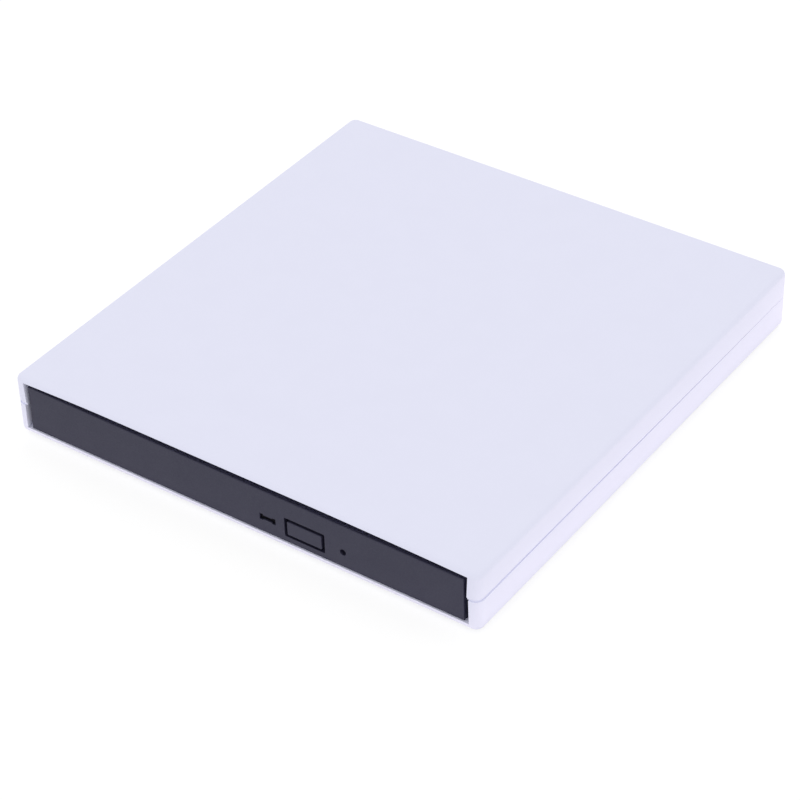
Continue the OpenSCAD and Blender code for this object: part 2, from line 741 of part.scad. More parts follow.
module guide_rods() color(bright) in_line()
  for (v = [-rod_at, rod_at]) translate([11 * mk, v, rod_z]) rod_x(rod_r, 55.4 * mk);

module rod_clamps() color(dark) in_line()
  for (u = mk * [10.8, 64.4], v = [-rod_at, rod_at]) difference() {
    box(u, u + 2.2, v - 2, v + 2, plate_top, rod_z + 1.3);
    translate([u - 1, v, rod_z]) rod_x(rod_r + 0.02, 5);
  }

module screw_bracket() color(steel) in_line() difference() {
  union() {
    box(screw_u0 - 0.7, screw_u1 + 0.7, screw_v - 3.3, screw_v - 1.7, plate_top, plate_top + 0.6);
    for (u = [screw_u0 - 0.7, screw_u1])
      box(u, u + 0.7, screw_v - 3.3, screw_v + 1.6, plate_top, screw_z + 1.5);
  }
  translate([screw_u0 - 2, screw_v, screw_z]) rod_x(journal_r + turn, screw_u1);
}

module sled_motor() color(steel) in_line() difference() {
  translate([-5 * mk, screw_v, screw_z]) rod_x(motor_r, screw_u0 - 0.7 + 5 * mk);
  translate([screw_u0 - 3, screw_v, screw_z]) rod_x(journal_r + turn, 5);
}

// A round thread carried off its axis, as rings of ten sides along +X
module thread(r, lift, length, pitch) {
  n = round(6 * length / pitch);
  pts = [for (i = [0 : n], k = [0 : 9])
    let (a = 360 * length * i / n / pitch)
      [length * i / n, lift * cos(a) + r * cos(36 * k), lift * sin(a) + r * sin(36 * k)]];
  faces = concat(
    [[for (k = [0 : 9]) k]],
    [[for (k = [9 : -1 : 0]) 10 * n + k]],
    [for (i = [0 : n - 1], k = [0 : 9])
      [10 * i + k, 10 * (i + 1) + (k + 1) % 10, 10 * i + (k + 1) % 10]],
    [for (i = [0 : n - 1], k = [0 : 9])
      [10 * i + k, 10 * (i + 1) + k, 10 * (i + 1) + (k + 1) % 10]]);
  polyhedron(pts, faces);
}

module lead_screw() color(bright) in_line() translate([0, screw_v, screw_z]) {
  translate([screw_u0 - 2.5, 0, 0]) rod_x(journal_r, 2.8);
  translate([screw_u0 + 0.2, 0, 0])
    thread(screw_core, screw_lift, screw_u1 - screw_u0 - 0.4, screw_pitch);
  translate([screw_u1 - 0.3, 0, 0]) rod_x(journal_r, 0.9);
}

module tray_ribbon_socket() color(dark) in_drive() difference() {
  box(ribbon_x - 1, ribbon_x + ribbon_w + 1, socket_y, socket_y + 4, ribbon_low + 2 * bend_r - 0.3,
    deck_lo);
  box(ribbon_x - 0.2, ribbon_x + ribbon_w + 0.2, socket_y - 1, socket_y + 2.2,
    ribbon_low + 2 * bend_r - 0.2, ribbon_low + 2 * bend_r + 0.2);
}

// The lock's holding magnet behind the lever's armature arm
module latch_core() color(steel) in_drive() {
  box(29, 38, lever_y + 8, lever_y + 9.2, 2.6, deck_lo);
  for (x = [29, 34.6]) box(x, x + 1.6, lever_y + 1.3, lever_y + 8.2, 2.8, 4.4);
}

module latch_coil() color(copper) in_drive() difference() {
  box(33, 37.8, lever_y + 2.6, lever_y + 7.8, 2, 5.2);
  box(34.55, 36.25, lever_y + 2, lever_y + 9, 2.75, 4.45);
}

module lever_clip() color(steel) in_drive() translate([lever_x, lever_y, lever_lo - 0.45]) difference() {
  cylinder(h = 0.4, r = 2.1);
  translate([0, 0, -1]) cylinder(h = 3, r = pivot_r + 0.02);
}

module lock_lever() color(white) in_drive() translate([lever_x, lever_y, 0]) difference() {
  union() {
    translate([0, 0, lever_lo]) cylinder(h = lever_hi - lever_lo, r = 2.4);
    // arm with its hook
    translate([0, 0, lever_lo]) linear_extrude(lever_hi - lever_lo)
      polygon([[1, 0], [-1, 0], [-1, -7.5], [-3.5, -8.8], [-3.5, -10.5], [-1, -10.5], [-1, -11.5],
        [10.5, -11.5], [10.5, -9.5], [1, -9.5]]);
    // armature arm
    box(0, 11, -1, 1, lever_lo, lever_hi);
  }
  cylinder(h = 10, r = pivot_r + turn);
}

module plunger_housing() color(dark) in_drive() translate([plunger_x, plunger_y, 0]) difference() {
  box(-2.4, 2.4, 0, 23.8, plunger_z - 2.2, deck_lo);
  translate([0, 1, plunger_z]) rod_y(plunger_bore, 21.8);
  translate([0, 20, plunger_z]) rod_y(0.95, 10);
}

module eject_plunger() color(bright) in_drive() translate([plunger_x, plunger_y + 1, plunger_z]) {
  translate([0, spring_l, 0]) rod_y(plunger_bore - 0.1, 2);
  translate([0, spring_l, 0]) rod_y(0.85, pan_end - 0.3 - plunger_y - 1 - spring_l);
}

// A wire of six sides wound along +Y
module coil_wire(r, wire, length, turns, steps) {
  n = turns * steps;
  pts = [for (i = [0 : n], k = [0 : 5])
    let (a = 360 * i / steps, q = r + wire * cos(60 * k))
      [q * cos(a), wire + (length - 2 * wire) * i / n + wire * sin(60 * k), q * sin(a)]];
  faces = concat(
    [[for (k = [0 : 5]) k]],
    [[for (k = [5 : -1 : 0]) 6 * n + k]],
    [for (i = [0 : n - 1], k = [0 : 5])
      [6 * i + k, 6 * (i + 1) + k, 6 * (i + 1) + (k + 1) % 6, 6 * i + (k + 1) % 6]]);
  polyhedron(pts, faces);
}

module eject_spring() color(bright) in_drive() translate([plunger_x, plunger_y + 1.02, plunger_z])
  coil_wire(1.05, 0.2, spring_l - 0.04, 8, 10);

module eject_button() color(black) in_drive() {
  box(button_x - button_w / 2, button_x + button_w / 2, y_face - 0.1, y_face + bezel_face + 0.3,
    control_z - button_h / 2, control_z + button_h / 2);
  // flange that keeps it behind the bezel's face
  box(button_x - button_w / 2 - button_gap - 0.5, button_x + button_w / 2 + button_gap + 0.5,
    y_face + bezel_face + 0.05, y_face + bezel_face + 0.55, bezel_rim + 0.15,
    control_z + button_h / 2 + button_gap + 0.4);
  // stem
  box(button_x - 1.4, button_x + 1.4, y_face + bezel_face, wall_in + 2, control_z - 0.7,
    control_z + 0.9);
}

module switch_plunger() color(white) in_drive()
  translate([button_x, wall_in + 2, control_z]) rod_y(0.7, 2);

module spindle_rotor() color(steel) in_line() {
  difference() {
    translate([0, 0, base_top + 0.3]) cylinder(h = rotor_top - base_top - 0.3, r = rotor_r);
    cylinder(h = rotor_top - 0.6, r = rotor_r - 0.8);
  }
  translate([0, 0, plate_z + 0.2]) cylinder(h = rotor_top - plate_z - 0.3, r = shaft_r);
}

module turntable_hub() color(black) in_line() difference() {
  union() {
    translate([0, 0, rotor_top]) cylinder(h = table_t, r = table_r);
    translate([0, 0, rotor_top]) cylinder(h = hub_top - rotor_top, r = hub_r);
    translate([0, 0, hub_top]) cylinder(h = 0.8, r1 = hub_r, r2 = hub_r - 1.6);
  }
  for (a = [0, 120, 240]) rotate([0, 0, a])
    box(4.2, hub_r + 1, -1.6, 1.6, disc_z + 0.8, hub_top + 2);
}

module hub_claws() color(white) in_line()
  for (a = [0, 120, 240]) rotate([0, 0, a]) {
    box(4.3, hub_r - 0.3, -1.5, 1.5, disc_z + 0.8, hub_top + 0.6);
    box(hub_r - 1, hub_r + 0.08, -0.9, 0.9, hub_top - 0.2, hub_top + 0.2);
  }

module turntable_pad() color(rubber) in_line() translate([0, 0, table_top]) difference() {
  cylinder(h = pad_t, r = table_r - 0.2);
  translate([0, 0, -1]) cylinder(h = 3, r = table_r - 3);
}

module pickup_sled() color(steel) in_line() difference() {
  translate([0, 0, sled_lo]) linear_extrude(sled_hi - sled_lo)
    polygon([[sled_u0, -sled_v], [sled_u1 - 3, -sled_v], [sled_u1, -sled_v + 3],
      [sled_u1, sled_v - 3], [sled_u1 - 3, sled_v], [sled_u0, sled_v]]);
  for (v = [-rod_at, rod_at]) translate([sled_u0 - 1, v, rod_z]) rod_x(rod_r + turn, 20);
  // well of the lens
  box(lens_u - 4, lens_u + 4, -8, 8, sled_lo + 0.6, sled_hi + 1);
}

module screw_follower() color(white) in_line() {
  box(lens_u - 3, lens_u + 3, screw_v + 2.1, -sled_v, screw_z - 0.7, screw_z + 0.7);
  box(lens_u - 0.35, lens_u + 0.35, screw_v + 1.2, screw_v + 2.3, screw_z - 0.3, screw_z + 0.3);
}

module lens_magnets() color(steel) in_line()
  for (s = [0, 1]) mirror([0, s, 0])
    box(lens_u - 3, lens_u + 3, 5.6, 7.6, sled_lo + 0.6, sled_hi - 0.1);

module lens_holder() color(dark) in_line() difference() {
  box(lens_u - 3.6, lens_u + 3.6, -5, 5, sled_lo + 1.2, deck_lo + 0.4);
  translate([lens_u, 0, 0]) cylinder(h = 10, r = lens_hole);
}

module objective_lens() color(clear) in_line() translate([lens_u, 0, deck_lo - 0.5]) {
  cylinder(h = 0.9, r = lens_r);
  translate([0, 0, 0.9]) intersection() {
    translate([0, 0, -3]) sphere(r = sqrt(9 + lens_r * lens_r) - tiny);
    cylinder(h = 2, r = lens_r + 1);
  }
}

top_shell();
bottom_shell();
rubber_feet();
case_screws();
bridge_board();
bridge_socket();
bridge_chips();
usb_shell();
usb_contacts();
drive_pan();
drive_cover();
cover_screws();
guide_left();
guide_right();
main_board();
main_chips();
drive_connector();
lock_post();
ribbon_cable();
rail_left();
rail_right();
tray();
bezel();
light_pipe();
front_board();
eject_switch();
activity_led();
bottom_shield();
mechanism_cover();
traverse_plate();
dampers();
damper_screws();
motor_base();
spindle_bearing();
spindle_stator();
guide_rods();
rod_clamps();
screw_bracket();
sled_motor();
tray_ribbon_socket();
latch_core();
latch_coil();
lever_clip();
plunger_housing();
eject_spring();
eject_button();
switch_plunger();
spindle_rotor();
turntable_hub();
turntable_pad();
hub_claws();
pickup_sled();
screw_follower();
lens_magnets();
lens_holder();
objective_lens();
lead_screw();
lock_lever();
eject_plunger();
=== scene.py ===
"""Looks of an external slim disc drive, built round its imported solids.

Pieces are modelled in millimetres and brought to metres when they are finished.
Front is -Y, right is +X seen from the front, and z = 0 is the table under the feet.
"""
import json
import math

import bmesh
import bpy
from mathutils import Matrix, Vector


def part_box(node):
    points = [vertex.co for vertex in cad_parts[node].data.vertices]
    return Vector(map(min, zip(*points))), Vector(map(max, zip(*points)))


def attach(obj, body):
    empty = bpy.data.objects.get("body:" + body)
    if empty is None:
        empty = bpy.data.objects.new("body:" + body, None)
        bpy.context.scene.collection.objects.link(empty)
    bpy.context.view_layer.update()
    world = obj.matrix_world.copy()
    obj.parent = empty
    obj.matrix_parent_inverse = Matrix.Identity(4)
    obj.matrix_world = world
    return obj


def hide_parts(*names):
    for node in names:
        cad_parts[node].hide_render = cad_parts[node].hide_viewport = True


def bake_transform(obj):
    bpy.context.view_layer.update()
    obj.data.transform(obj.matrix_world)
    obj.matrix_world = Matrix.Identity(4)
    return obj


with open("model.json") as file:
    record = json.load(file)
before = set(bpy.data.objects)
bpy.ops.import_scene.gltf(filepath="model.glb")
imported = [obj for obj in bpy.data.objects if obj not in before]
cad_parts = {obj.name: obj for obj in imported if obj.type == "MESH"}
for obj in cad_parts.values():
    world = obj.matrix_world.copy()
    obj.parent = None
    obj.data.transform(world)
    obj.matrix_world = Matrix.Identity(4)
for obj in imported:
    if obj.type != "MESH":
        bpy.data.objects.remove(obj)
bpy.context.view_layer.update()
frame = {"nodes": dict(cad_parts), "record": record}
nodes = frame["nodes"]
record = frame["record"]

# Body and material slot of each solid
BODY_OF = {node: body for body, members in record["behaviour"]["bodies"].items()
           for node in members}
SLOT_OF = {entry["node"]: entry["material_slot"] for entry in record["subparts"]}

# A millimetre in metres
MM = 0.001

# Places closer together than this count as one
NEAR = 0.02

# How far a form that is joined on sinks into its wall, and a cutter reaches past what it cuts
SINK = 0.2
PAST = 1.0

# Case, in millimetres, as are all sizes up to the stage
SIDE = 68.0
FRONT = -71.0
BACK = 71.0
UNDERSIDE = 0.8
FLOOR = 2.3
PARTING = 9.6
ROOF = 16.1
TOP = 17.6
WALL = 2.0
CORNER = 2.2
INNER_CORNER = 0.5
EDGE_ROUND = 1.5

# Drive inside it: the face is the bezel's front, the controls lie on one line across it, and
# the spindle stands on the middle line
DRIVE = 2.7
DRIVE_TOP = 15.4
DRIVE_SIDE = 64.0
DRIVE_REAR = 57.0
FACE = -70.7
FACE_BACK = -68.7
BEZEL_BACK = -65.8
TRAY_WALL = -64.4
CONTROL = 7.05
SPINDLE_Y = -4.6


# Modelling

def set_down():
    """Leaves edit mode and lets go of all that is selected."""
    if bpy.context.mode != "OBJECT":
        bpy.ops.object.mode_set(mode="OBJECT")
    bpy.ops.object.select_all(action="DESELECT")


def pick_up(piece):
    """Makes one piece the only one that an operator acts on."""
    set_down()
    piece.select_set(True)
    bpy.context.view_layer.objects.active = piece


def settle(piece, name):
    """Puts a new primitive's place into its mesh."""
    piece.name = name
    pick_up(piece)
    bpy.ops.object.transform_apply(location=True, rotation=True, scale=True)
    return piece


def block(name, low, high):
    """A box between two corners, ready to be shaped."""
    set_down()
    middle = [(a + b) / 2 for a, b in zip(low, high)]
    size = [b - a for a, b in zip(low, high)]
    bpy.ops.mesh.primitive_cube_add(size=1, location=middle, scale=size)
    return settle(bpy.context.object, name)


def post(name, radius, low, high, x, y, sides=48):
    """An upright round bar."""
    set_down()
    bpy.ops.mesh.primitive_cylinder_add(
        vertices=sides, radius=radius, depth=high - low, location=(x, y, (low + high) / 2))
    return settle(bpy.context.object, name)


def bar(name, radius, front, back, x, z, sides=48):
    """A round bar from front to back."""
    set_down()
    bpy.ops.mesh.primitive_cylinder_add(
        vertices=sides, radius=radius, depth=back - front,
        location=(x, (front + back) / 2, z), rotation=(math.pi / 2, 0, 0))
    return settle(bpy.context.object, name)


def choose(piece, test, what="edges"):
    """Selects the edges or faces of a piece that pass the test, in edit mode."""
    pick_up(piece)
    bpy.ops.object.mode_set(mode="EDIT")
    bpy.ops.mesh.select_mode(type="EDGE" if what == "edges" else "FACE")
    bpy.ops.mesh.select_all(action="DESELECT")
    shape = bmesh.from_edit_mesh(piece.data)
    for part in getattr(shape, what):
        if test(part):
            part.select_set(True)
    bmesh.update_edit_mesh(piece.data)


def draw_out(x=0.0, y=0.0, z=0.0):
    """Extrudes what is selected by a step."""
    bpy.ops.mesh.extrude_region_move(TRANSFORM_OT_translate={"value": (x, y, z)})


def round_edges(piece, test, radius, steps=4):
    """Rounds the edges that pass the test."""
    choose(piece, test)
    bpy.ops.mesh.bevel(offset=radius, segments=steps, affect="EDGES")
    set_down()


def combine(piece, others, operation):
    """Cuts other pieces out of this one, or joins them to it, and clears them away."""
    for other in others:
        pick_up(piece)
        tool = piece.modifiers.new("combine", "BOOLEAN")
        tool.operation = operation
        tool.solver = "EXACT"
        tool.object = other
        bpy.ops.object.modifier_apply(modifier=tool.name)
        bpy.data.objects.remove(other)


def carve(piece, *others):
    """Cuts other pieces out of this one."""
    combine(piece, others, "DIFFERENCE")


def weld(piece, *others):
    """Joins other pieces to this one as one solid."""
    combine(piece, others, "UNION")


def soften(piece, width, angle=40):
    """Takes the sharpness off every edge that turns by more than the angle."""
    pick_up(piece)
    tool = piece.modifiers.new("soften", "BEVEL")
    tool.width = width
    tool.segments = 2
    tool.limit_method = "ANGLE"
    tool.angle_limit = math.radians(angle)
    tool.use_clamp_overlap = True
    bpy.ops.object.modifier_apply(modifier=tool.name)


def clean(piece):
    """Takes out edges and faces that have shrunk to nothing."""
    choose(piece, lambda e: True)
    bpy.ops.mesh.dissolve_degenerate(threshold=0.001)
    set_down()


def copy_at(piece, name, shift, turn=0.0):
    """A copy of a piece with its own mesh, turned about the upright axis and moved."""
    pick_up(piece)
    bpy.ops.object.duplicate()
    twin = bpy.context.object
    twin.rotation_euler = (0, 0, turn)
    twin.location = shift
    return settle(twin, name)


def take_copy(node, name):
    """A copy of a solid in millimetres, its triangles merged into whole faces."""
    piece = bpy.data.objects.new(name, nodes[node].data.copy())
    bpy.context.collection.objects.link(piece)
    pick_up(piece)
    piece.scale = (1 / MM, 1 / MM, 1 / MM)
    bpy.ops.object.transform_apply(location=False, rotation=False, scale=True)
    bpy.ops.object.mode_set(mode="EDIT")
    bpy.ops.mesh.select_all(action="SELECT")
    bpy.ops.mesh.remove_doubles(threshold=0.002)
    bpy.ops.mesh.dissolve_limited(angle_limit=math.radians(1))
    set_down()
    return piece


def gather(name, pieces):
    """Joins pieces that lie apart into one object."""
    set_down()
    for piece in pieces:
        piece.select_set(True)
    bpy.context.view_layer.objects.active = pieces[0]
    bpy.ops.object.join()
    pieces[0].name = name
    return pieces[0]


def to_metres(piece, angle=35):
    """Brings a finished piece to metres and shades it, flat faces flat and rounds smooth."""
    pick_up(piece)
    piece.scale = (MM, MM, MM)
    bpy.ops.object.transform_apply(location=False, rotation=False, scale=True)
    bpy.ops.object.shade_smooth_by_angle(angle=math.radians(angle))
    weights = piece.modifiers.new("face weights", "WEIGHTED_NORMAL")
    weights.keep_sharp = True
    bpy.ops.object.modifier_apply(modifier=weights.name)


def dress(piece, finish):
    """Gives a piece its material."""
    piece.data.materials.clear()
    piece.data.materials.append(finish)


def hand_over(piece, finish, slot, body, *stands_for):
    """Finishes a rigid piece: metres, material, body and the solids that it stands for."""
    to_metres(piece)
    dress(piece, finish)
    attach(piece, body)
    if stands_for:
        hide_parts(*stands_for)


# Tests that pick edges and faces by their place

# Shortest run that counts as going from front to back, in millimetres
RUN = 1.0

# Least share of its normal with which a face looks along an axis
FACING = 0.9

# Most corners of a face that isn't the cap of a round piece
CAP = 8

# Angle in radians up to which two faces count as one
FLAT = 0.3


def middle_of(edge):
    """The middle of an edge."""
    a, b = (v.co for v in edge.verts)
    return (a + b) / 2


def upright(edge):
    """True for an edge that stands straight up."""
    a, b = (v.co for v in edge.verts)
    return abs(a.x - b.x) < NEAR and abs(a.y - b.y) < NEAR


def along_y(edge):
    """True for an edge that runs from front to back."""
    return abs(edge.verts[0].co.y - edge.verts[1].co.y) > RUN


def level(part, height):
    """True for an edge or a face that lies at a height."""
    return all(abs(v.co.z - height) < NEAR for v in part.verts)


def on_front(edge, front):
    """True for an edge that lies in the upright plane at a depth."""
    return all(abs(v.co.y - front) < NEAR for v in edge.verts)


def flush(edge):
    """True where the two faces beside an edge lie in one plane."""
    return len(edge.link_faces) == 2 and edge.calc_face_angle(0) < FLAT


# Materials

def tint(code):
    """An sRGB hex colour as the linear colour that a shader takes."""
    parts = [int(code[i:i + 2], 16) / 255 for i in (1, 3, 5)]
    linear = [c / 12.92 if c <= 0.04045 else ((c + 0.055) / 1.055) ** 2.4 for c in parts]
    return (*linear, 1.0)


def per_mm(size):
    """The scale at which a texture repeats once in so many millimetres."""
    return 1 / (size * MM)


def add(tree, kind, inputs=(), **settings):
    """Adds one node: settings go on the node, inputs are values or sockets by input."""
    node = tree.nodes.new("ShaderNode" + kind)
    for name, value in settings.items():
        setattr(node, name, value)
    for socket, value in dict(inputs).items():
        if isinstance(value, bpy.types.NodeSocket):
            tree.links.new(value, node.inputs[socket])
        else:
            node.inputs[socket].default_value = value
    return node


def start(name):
    """A new material with its shader and the object's own coordinates."""
    finish = bpy.data.materials.new(name)
    finish.use_nodes = True
    tree = finish.node_tree
    tree.nodes.clear()
    shader = add(tree, "BsdfPrincipled")
    add(tree, "OutputMaterial", {"Surface": shader.outputs["BSDF"]})
    place = add(tree, "TexCoord")
    return finish, tree, shader, place.outputs["Object"]


def put(shader, **values):
    """Sets the shader's own sockets."""
    for name, value in values.items():
        shader.inputs[name.replace("_", " ").replace("ior", "IOR")].default_value = value


def colour_between(tree, shader, amount, dark, light, ends=(0.0, 1.0)):
    """Colours the shader between two shades, by an amount that runs from end to end."""
    ramp = add(tree, "ValToRGB", {"Fac": amount})
    for stop, position, code in zip(ramp.color_ramp.elements, ends, (dark, light)):
        stop.position = position
        stop.color = tint(code)
    tree.links.new(ramp.outputs["Color"], shader.inputs["Base Color"])


def mottle(tree, place, shader, light, dark, size):
    """Colour that drifts between two shades over patches of the given size in millimetres."""
    cloud = add(tree, "TexNoise", {"Vector": place, "Scale": per_mm(size), "Detail": 3.0})
    colour_between(tree, shader, cloud.outputs["Fac"], dark, light, (0.3, 0.7))


def grain(tree, place, shader, size, height, rough, stretch=(1, 1, 1)):
    """Surface grain: bumps of a size and height in millimetres, and gloss that varies with them."""
    lie = add(tree, "Mapping", {"Vector": place, "Scale": stretch})
    noise = add(tree, "TexNoise", {"Vector": lie.outputs["Vector"], "Scale": per_mm(size),
                                   "Detail": 2.0})
    bump = add(tree, "Bump", {"Height": noise.outputs["Fac"], "Distance": height * MM,
                              "Strength": 0.5})
    gloss = add(tree, "MapRange", {"Value": noise.outputs["Fac"], "From Min": 0.3,
                                   "From Max": 0.7, "To Min": rough[0], "To Max": rough[1]})
    tree.links.new(bump.outputs["Normal"], shader.inputs["Normal"])
    tree.links.new(gloss.outputs["Result"], shader.inputs["Roughness"])


def simple(name, light, dark, patch, grit, height, rough, stretch=(1, 1, 1), **values):
    """A finish with drifting colour and fine grain, which most of the pieces have."""
    finish, tree, shader, place = start(name)
    mottle(tree, place, shader, light, dark, patch)
    grain(tree, place, shader, grit, height, rough, stretch)
    put(shader, **values)
    return finish


# White ABS, moulded with a fine satin texture: soft broad highlights, a cool white that
# hardly varies. The texture's real grit of 0.1 mm is drawn at 0.35 mm so that it shows.
white_abs = simple("moulded white ABS", "#E6E7F9", "#E5E6F8", patch=9.0, grit=0.35,
                   height=0.006, rough=(0.42, 0.5), Specular_ior_Level=0.3)

# Black ABS of the bezel and button, eroded texture: a dull sheen lifts the open face to a cool
# grey and leaves the gaps black. Grit 0.1 mm drawn at 0.3 mm.
bezel_abs = simple("textured black ABS", "#272639", "#232236", patch=6.0, grit=0.3,
                   height=0.008, rough=(0.48, 0.6), Specular_ior_Level=0.52,
                   Specular_Tint=(0.84, 0.84, 1.0, 1.0))

# Black ABS of the tray, the same polymer with a finer polish on its disc floor.
tray_abs = simple("satin black ABS", "#343341", "#302F3D", patch=12.0, grit=0.3,
                  height=0.006, rough=(0.38, 0.5), Specular_ior_Level=0.4)

# Glass-filled PBT of guides, clamps and covers: dark grey with short pale fibres.
filled_pbt = simple("glass-filled PBT", "#47474D", "#3A3A40", patch=1.2, grit=0.5,
                    height=0.01, rough=(0.5, 0.68), stretch=(1, 0.35, 1),
                    Specular_ior_Level=0.4)

# Smoked polycarbonate of the light guide: almost black, its sawn end dull. Its near-black, barely
# reflecting face is partly the smoked plastic's own colour and partly painted shade, so that the
# window reads as dark as a shaded slit.
smoked_shaded_pc = simple("smoked polycarbonate with painted shade", "#0C0B12", "#08070D", patch=2.0, grit=1.0,
                   height=0.002, rough=(0.3, 0.4), Specular_ior_Level=0.03)

# Rubber of the feet, dampers and turntable pad: matt with a dusty bloom.
soft_rubber = simple("black silicone rubber", "#37373A", "#2B2B2E", patch=1.6, grit=0.25,
                     height=0.015, rough=(0.78, 0.92), Specular_ior_Level=0.25)

# Nickel-plated screw steel: bright, with turning marks too fine to see one by one.
plated_steel = simple("nickel-plated steel", "#B9B8B2", "#A3A29C", patch=1.0, grit=0.2,
                      height=0.004, rough=(0.22, 0.36), Metallic=1.0)

# Electro-zinc sheet of the pan and plates: grey with soft spangles of about 3 mm.
zinc_sheet = simple("electro-zinc steel sheet", "#BFC3C8", "#A4A9AF", patch=3.0, grit=0.8,
                    height=0.004, rough=(0.34, 0.5), Metallic=1.0)

# Cold-rolled stainless of rails, cover and rods: roll marks run from front to back.
# Real roll marks are 0.05 mm apart and are drawn at 0.25 mm.
rolled_steel = simple("rolled stainless steel", "#D2D4D8", "#BFC2C7", patch=5.0, grit=0.25,
                      height=0.001, rough=(0.24, 0.36), stretch=(1, 0.03, 1), Metallic=1.0)

# Epoxy of chips and sockets: matt near-black with a mould's grey bloom.
chip_epoxy = simple("moulded epoxy", "#2C2C30", "#222226", patch=0.8, grit=0.2,
                    height=0.01, rough=(0.55, 0.7), Specular_ior_Level=0.35)

# Acetal of levers, claws and followers: waxy off-white.
acetal = simple("natural acetal", "#E9E7E0", "#DFDCD2", patch=4.0, grit=0.6,
                height=0.004, rough=(0.3, 0.42), Subsurface_Weight=0.08)

# Sintered bronze of the spindle's bush: brown-gold with open pores of 0.2 mm.
bronze = simple("sintered bronze", "#C29A55", "#9E7A3C", patch=0.4, grit=0.2,
                height=0.02, rough=(0.32, 0.5), Metallic=1.0)

# Die-cast magnesium of the pickup: grey, with the cast skin's flow marks.
cast_magnesium = simple("die-cast magnesium", "#B1B3B5", "#96999C", patch=2.4, grit=0.5,
                        height=0.02, rough=(0.42, 0.6), Metallic=0.9)

# Gold flash on the rear socket's contacts: a thin warm plating, bright where it was rubbed.
gold_flash = simple("gold-flashed bronze", "#DDB661", "#C79E48", patch=1.0, grit=0.2,
                    height=0.003, rough=(0.18, 0.3), Metallic=1.0)


def make_board():
    """Glass-epoxy board under green solder mask, its tracks showing as paler lines."""
    finish, tree, shader, place = start("green solder mask")
    tracks = add(tree, "TexBrick", {"Vector": place, "Color1": tint("#1E6B40"),
                                    "Color2": tint("#1A6039"), "Mortar": tint("#2C8652"),
                                    "Scale": per_mm(2.4), "Mortar Size": 0.05,
                                    "Brick Width": 1.7, "Row Height": 0.5})
    tree.links.new(tracks.outputs["Color"], shader.inputs["Base Color"])
    grain(tree, place, shader, size=0.6, height=0.004, rough=(0.22, 0.36))
    put(shader, Coat_Weight=0.2)
    return finish


def make_winding():
    """Enamelled copper wire: turns of 0.2 mm, drawn half a millimetre apart so that they show, with
    painted shade in the grooves between them and a painted highlight on each crest.
    """
    finish, tree, shader, place = start("enamelled copper wire")
    turns = add(tree, "TexWave", {"Vector": place, "Scale": per_mm(1.3), "Distortion": 0.4},
                wave_type="BANDS", bands_direction="DIAGONAL")
    # Painted shade in the grooves between the turns and painted highlight on their crests,
    # following the bump
    colour_between(tree, shader, turns.outputs["Fac"], "#7A3F18", "#C77A3C")
    bump = add(tree, "Bump", {"Height": turns.outputs["Fac"], "Distance": 0.06 * MM})
    tree.links.new(bump.outputs["Normal"], shader.inputs["Normal"])
    put(shader, Metallic=0.85, Roughness=0.3, Coat_Weight=0.3)
    return finish


def make_film():
    """White polyester film of the flat cable, its conductors of 0.5 mm showing as grey bands."""
    finish, tree, shader, place = start("laminated polyester film")
    bands = add(tree, "TexWave", {"Vector": place, "Scale": per_mm(3.2), "Distortion": 0.0},
                wave_type="BANDS", bands_direction="X")
    colour_between(tree, shader, bands.outputs["Fac"], "#E6E6E4", "#B9BABD")
    grain(tree, place, shader, size=1.5, height=0.002, rough=(0.25, 0.38))
    return finish


def make_lens_glass():
    """Coated glass of the objective: clear, with a violet bloom."""
    finish, tree, shader, place = start("coated optical glass")
    mottle(tree, place, shader, "#B9C2F0", "#A9A4E6", size=1.5)
    put(shader, Roughness=0.03, Transmission_Weight=0.85, Coat_Weight=0.6)
    return finish


solder_mask = make_board()
copper_wire = make_winding()
cable_film = make_film()
coated_glass = make_lens_glass()

FINISHES = {
    "white_abs": white_abs, "black_plastic": tray_abs, "dark_plastic": filled_pbt,
    "smoked_plastic": smoked_shaded_pc, "foot_rubber": soft_rubber, "screw_steel": plated_steel,
    "pan_steel": zinc_sheet, "bright_steel": rolled_steel, "board_green": solder_mask,
    "chip_black": chip_epoxy, "pale_nylon": acetal, "bearing_brass": bronze,
    "coil_copper": copper_wire, "cast_alloy": cast_magnesium, "lens_glass": coated_glass,
}

# Every solid carries the finish of its slot
for node, slot in SLOT_OF.items():
    nodes[node].data.materials.clear()
    nodes[node].data.materials.append(FINISHES[slot])


# The two shells of the case

# Parting: a tongue of the bottom shell stands in a rebate of the top one, and the shadow gap
# outside it closes from front to back
TONGUE = 0.8
TONGUE_ROOT = PARTING - 0.5
TONGUE_TOP = PARTING + 1.0
REBATE = TONGUE + 0.1
REBATE_TOP = PARTING + 1.1
REVEAL_DEPTH = 0.35
REVEAL_FRONT = 0.68
REVEAL_BACK = 0.03
PARTING_EDGE = 0.12

# Mouth: half its width at the foot and the head of each shell's share, and the sag of its
# upper edge, which starts so far to the left and the right of the middle
MOUTH_TOP = 16.8
MOUTH_BACK = FRONT + WALL + 0.5
TOP_MOUTH = (64.6, 65.0)
BOTTOM_MOUTH = (65.25, 65.1)
LIP = FLOOR + 0.3
LIP_EDGE = 0.2
SAG = 0.48
SAG_LEFT = 36.0
SAG_RIGHT = 18.0
SAG_STEPS = 31

# Ribs that hold the drive from above, below and the sides, and the stops behind it
RIB_X = 45.0
RIB_HALF = 1.5
RIB_BACK = DRIVE_REAR - 2.0
ROOF_RIB_FRONT = BEZEL_BACK + 16.0
FLOOR_RIB_FRONT = BEZEL_BACK + 6.0
SIDE_RIBS = (-28.0, 22.0)
SIDE_RIB_LENGTH = 3.0
SIDE_RIB_LOW = PARTING + 1.5
SIDE_RIB_ROOM = 0.1
STOP_X = 53.0
STOP_HALF = 2.0
STOP_FRONT = DRIVE_REAR + 0.1
STOP_BACK = DRIVE_REAR + 1.8
STOP_TOP = FLOOR + 6.0

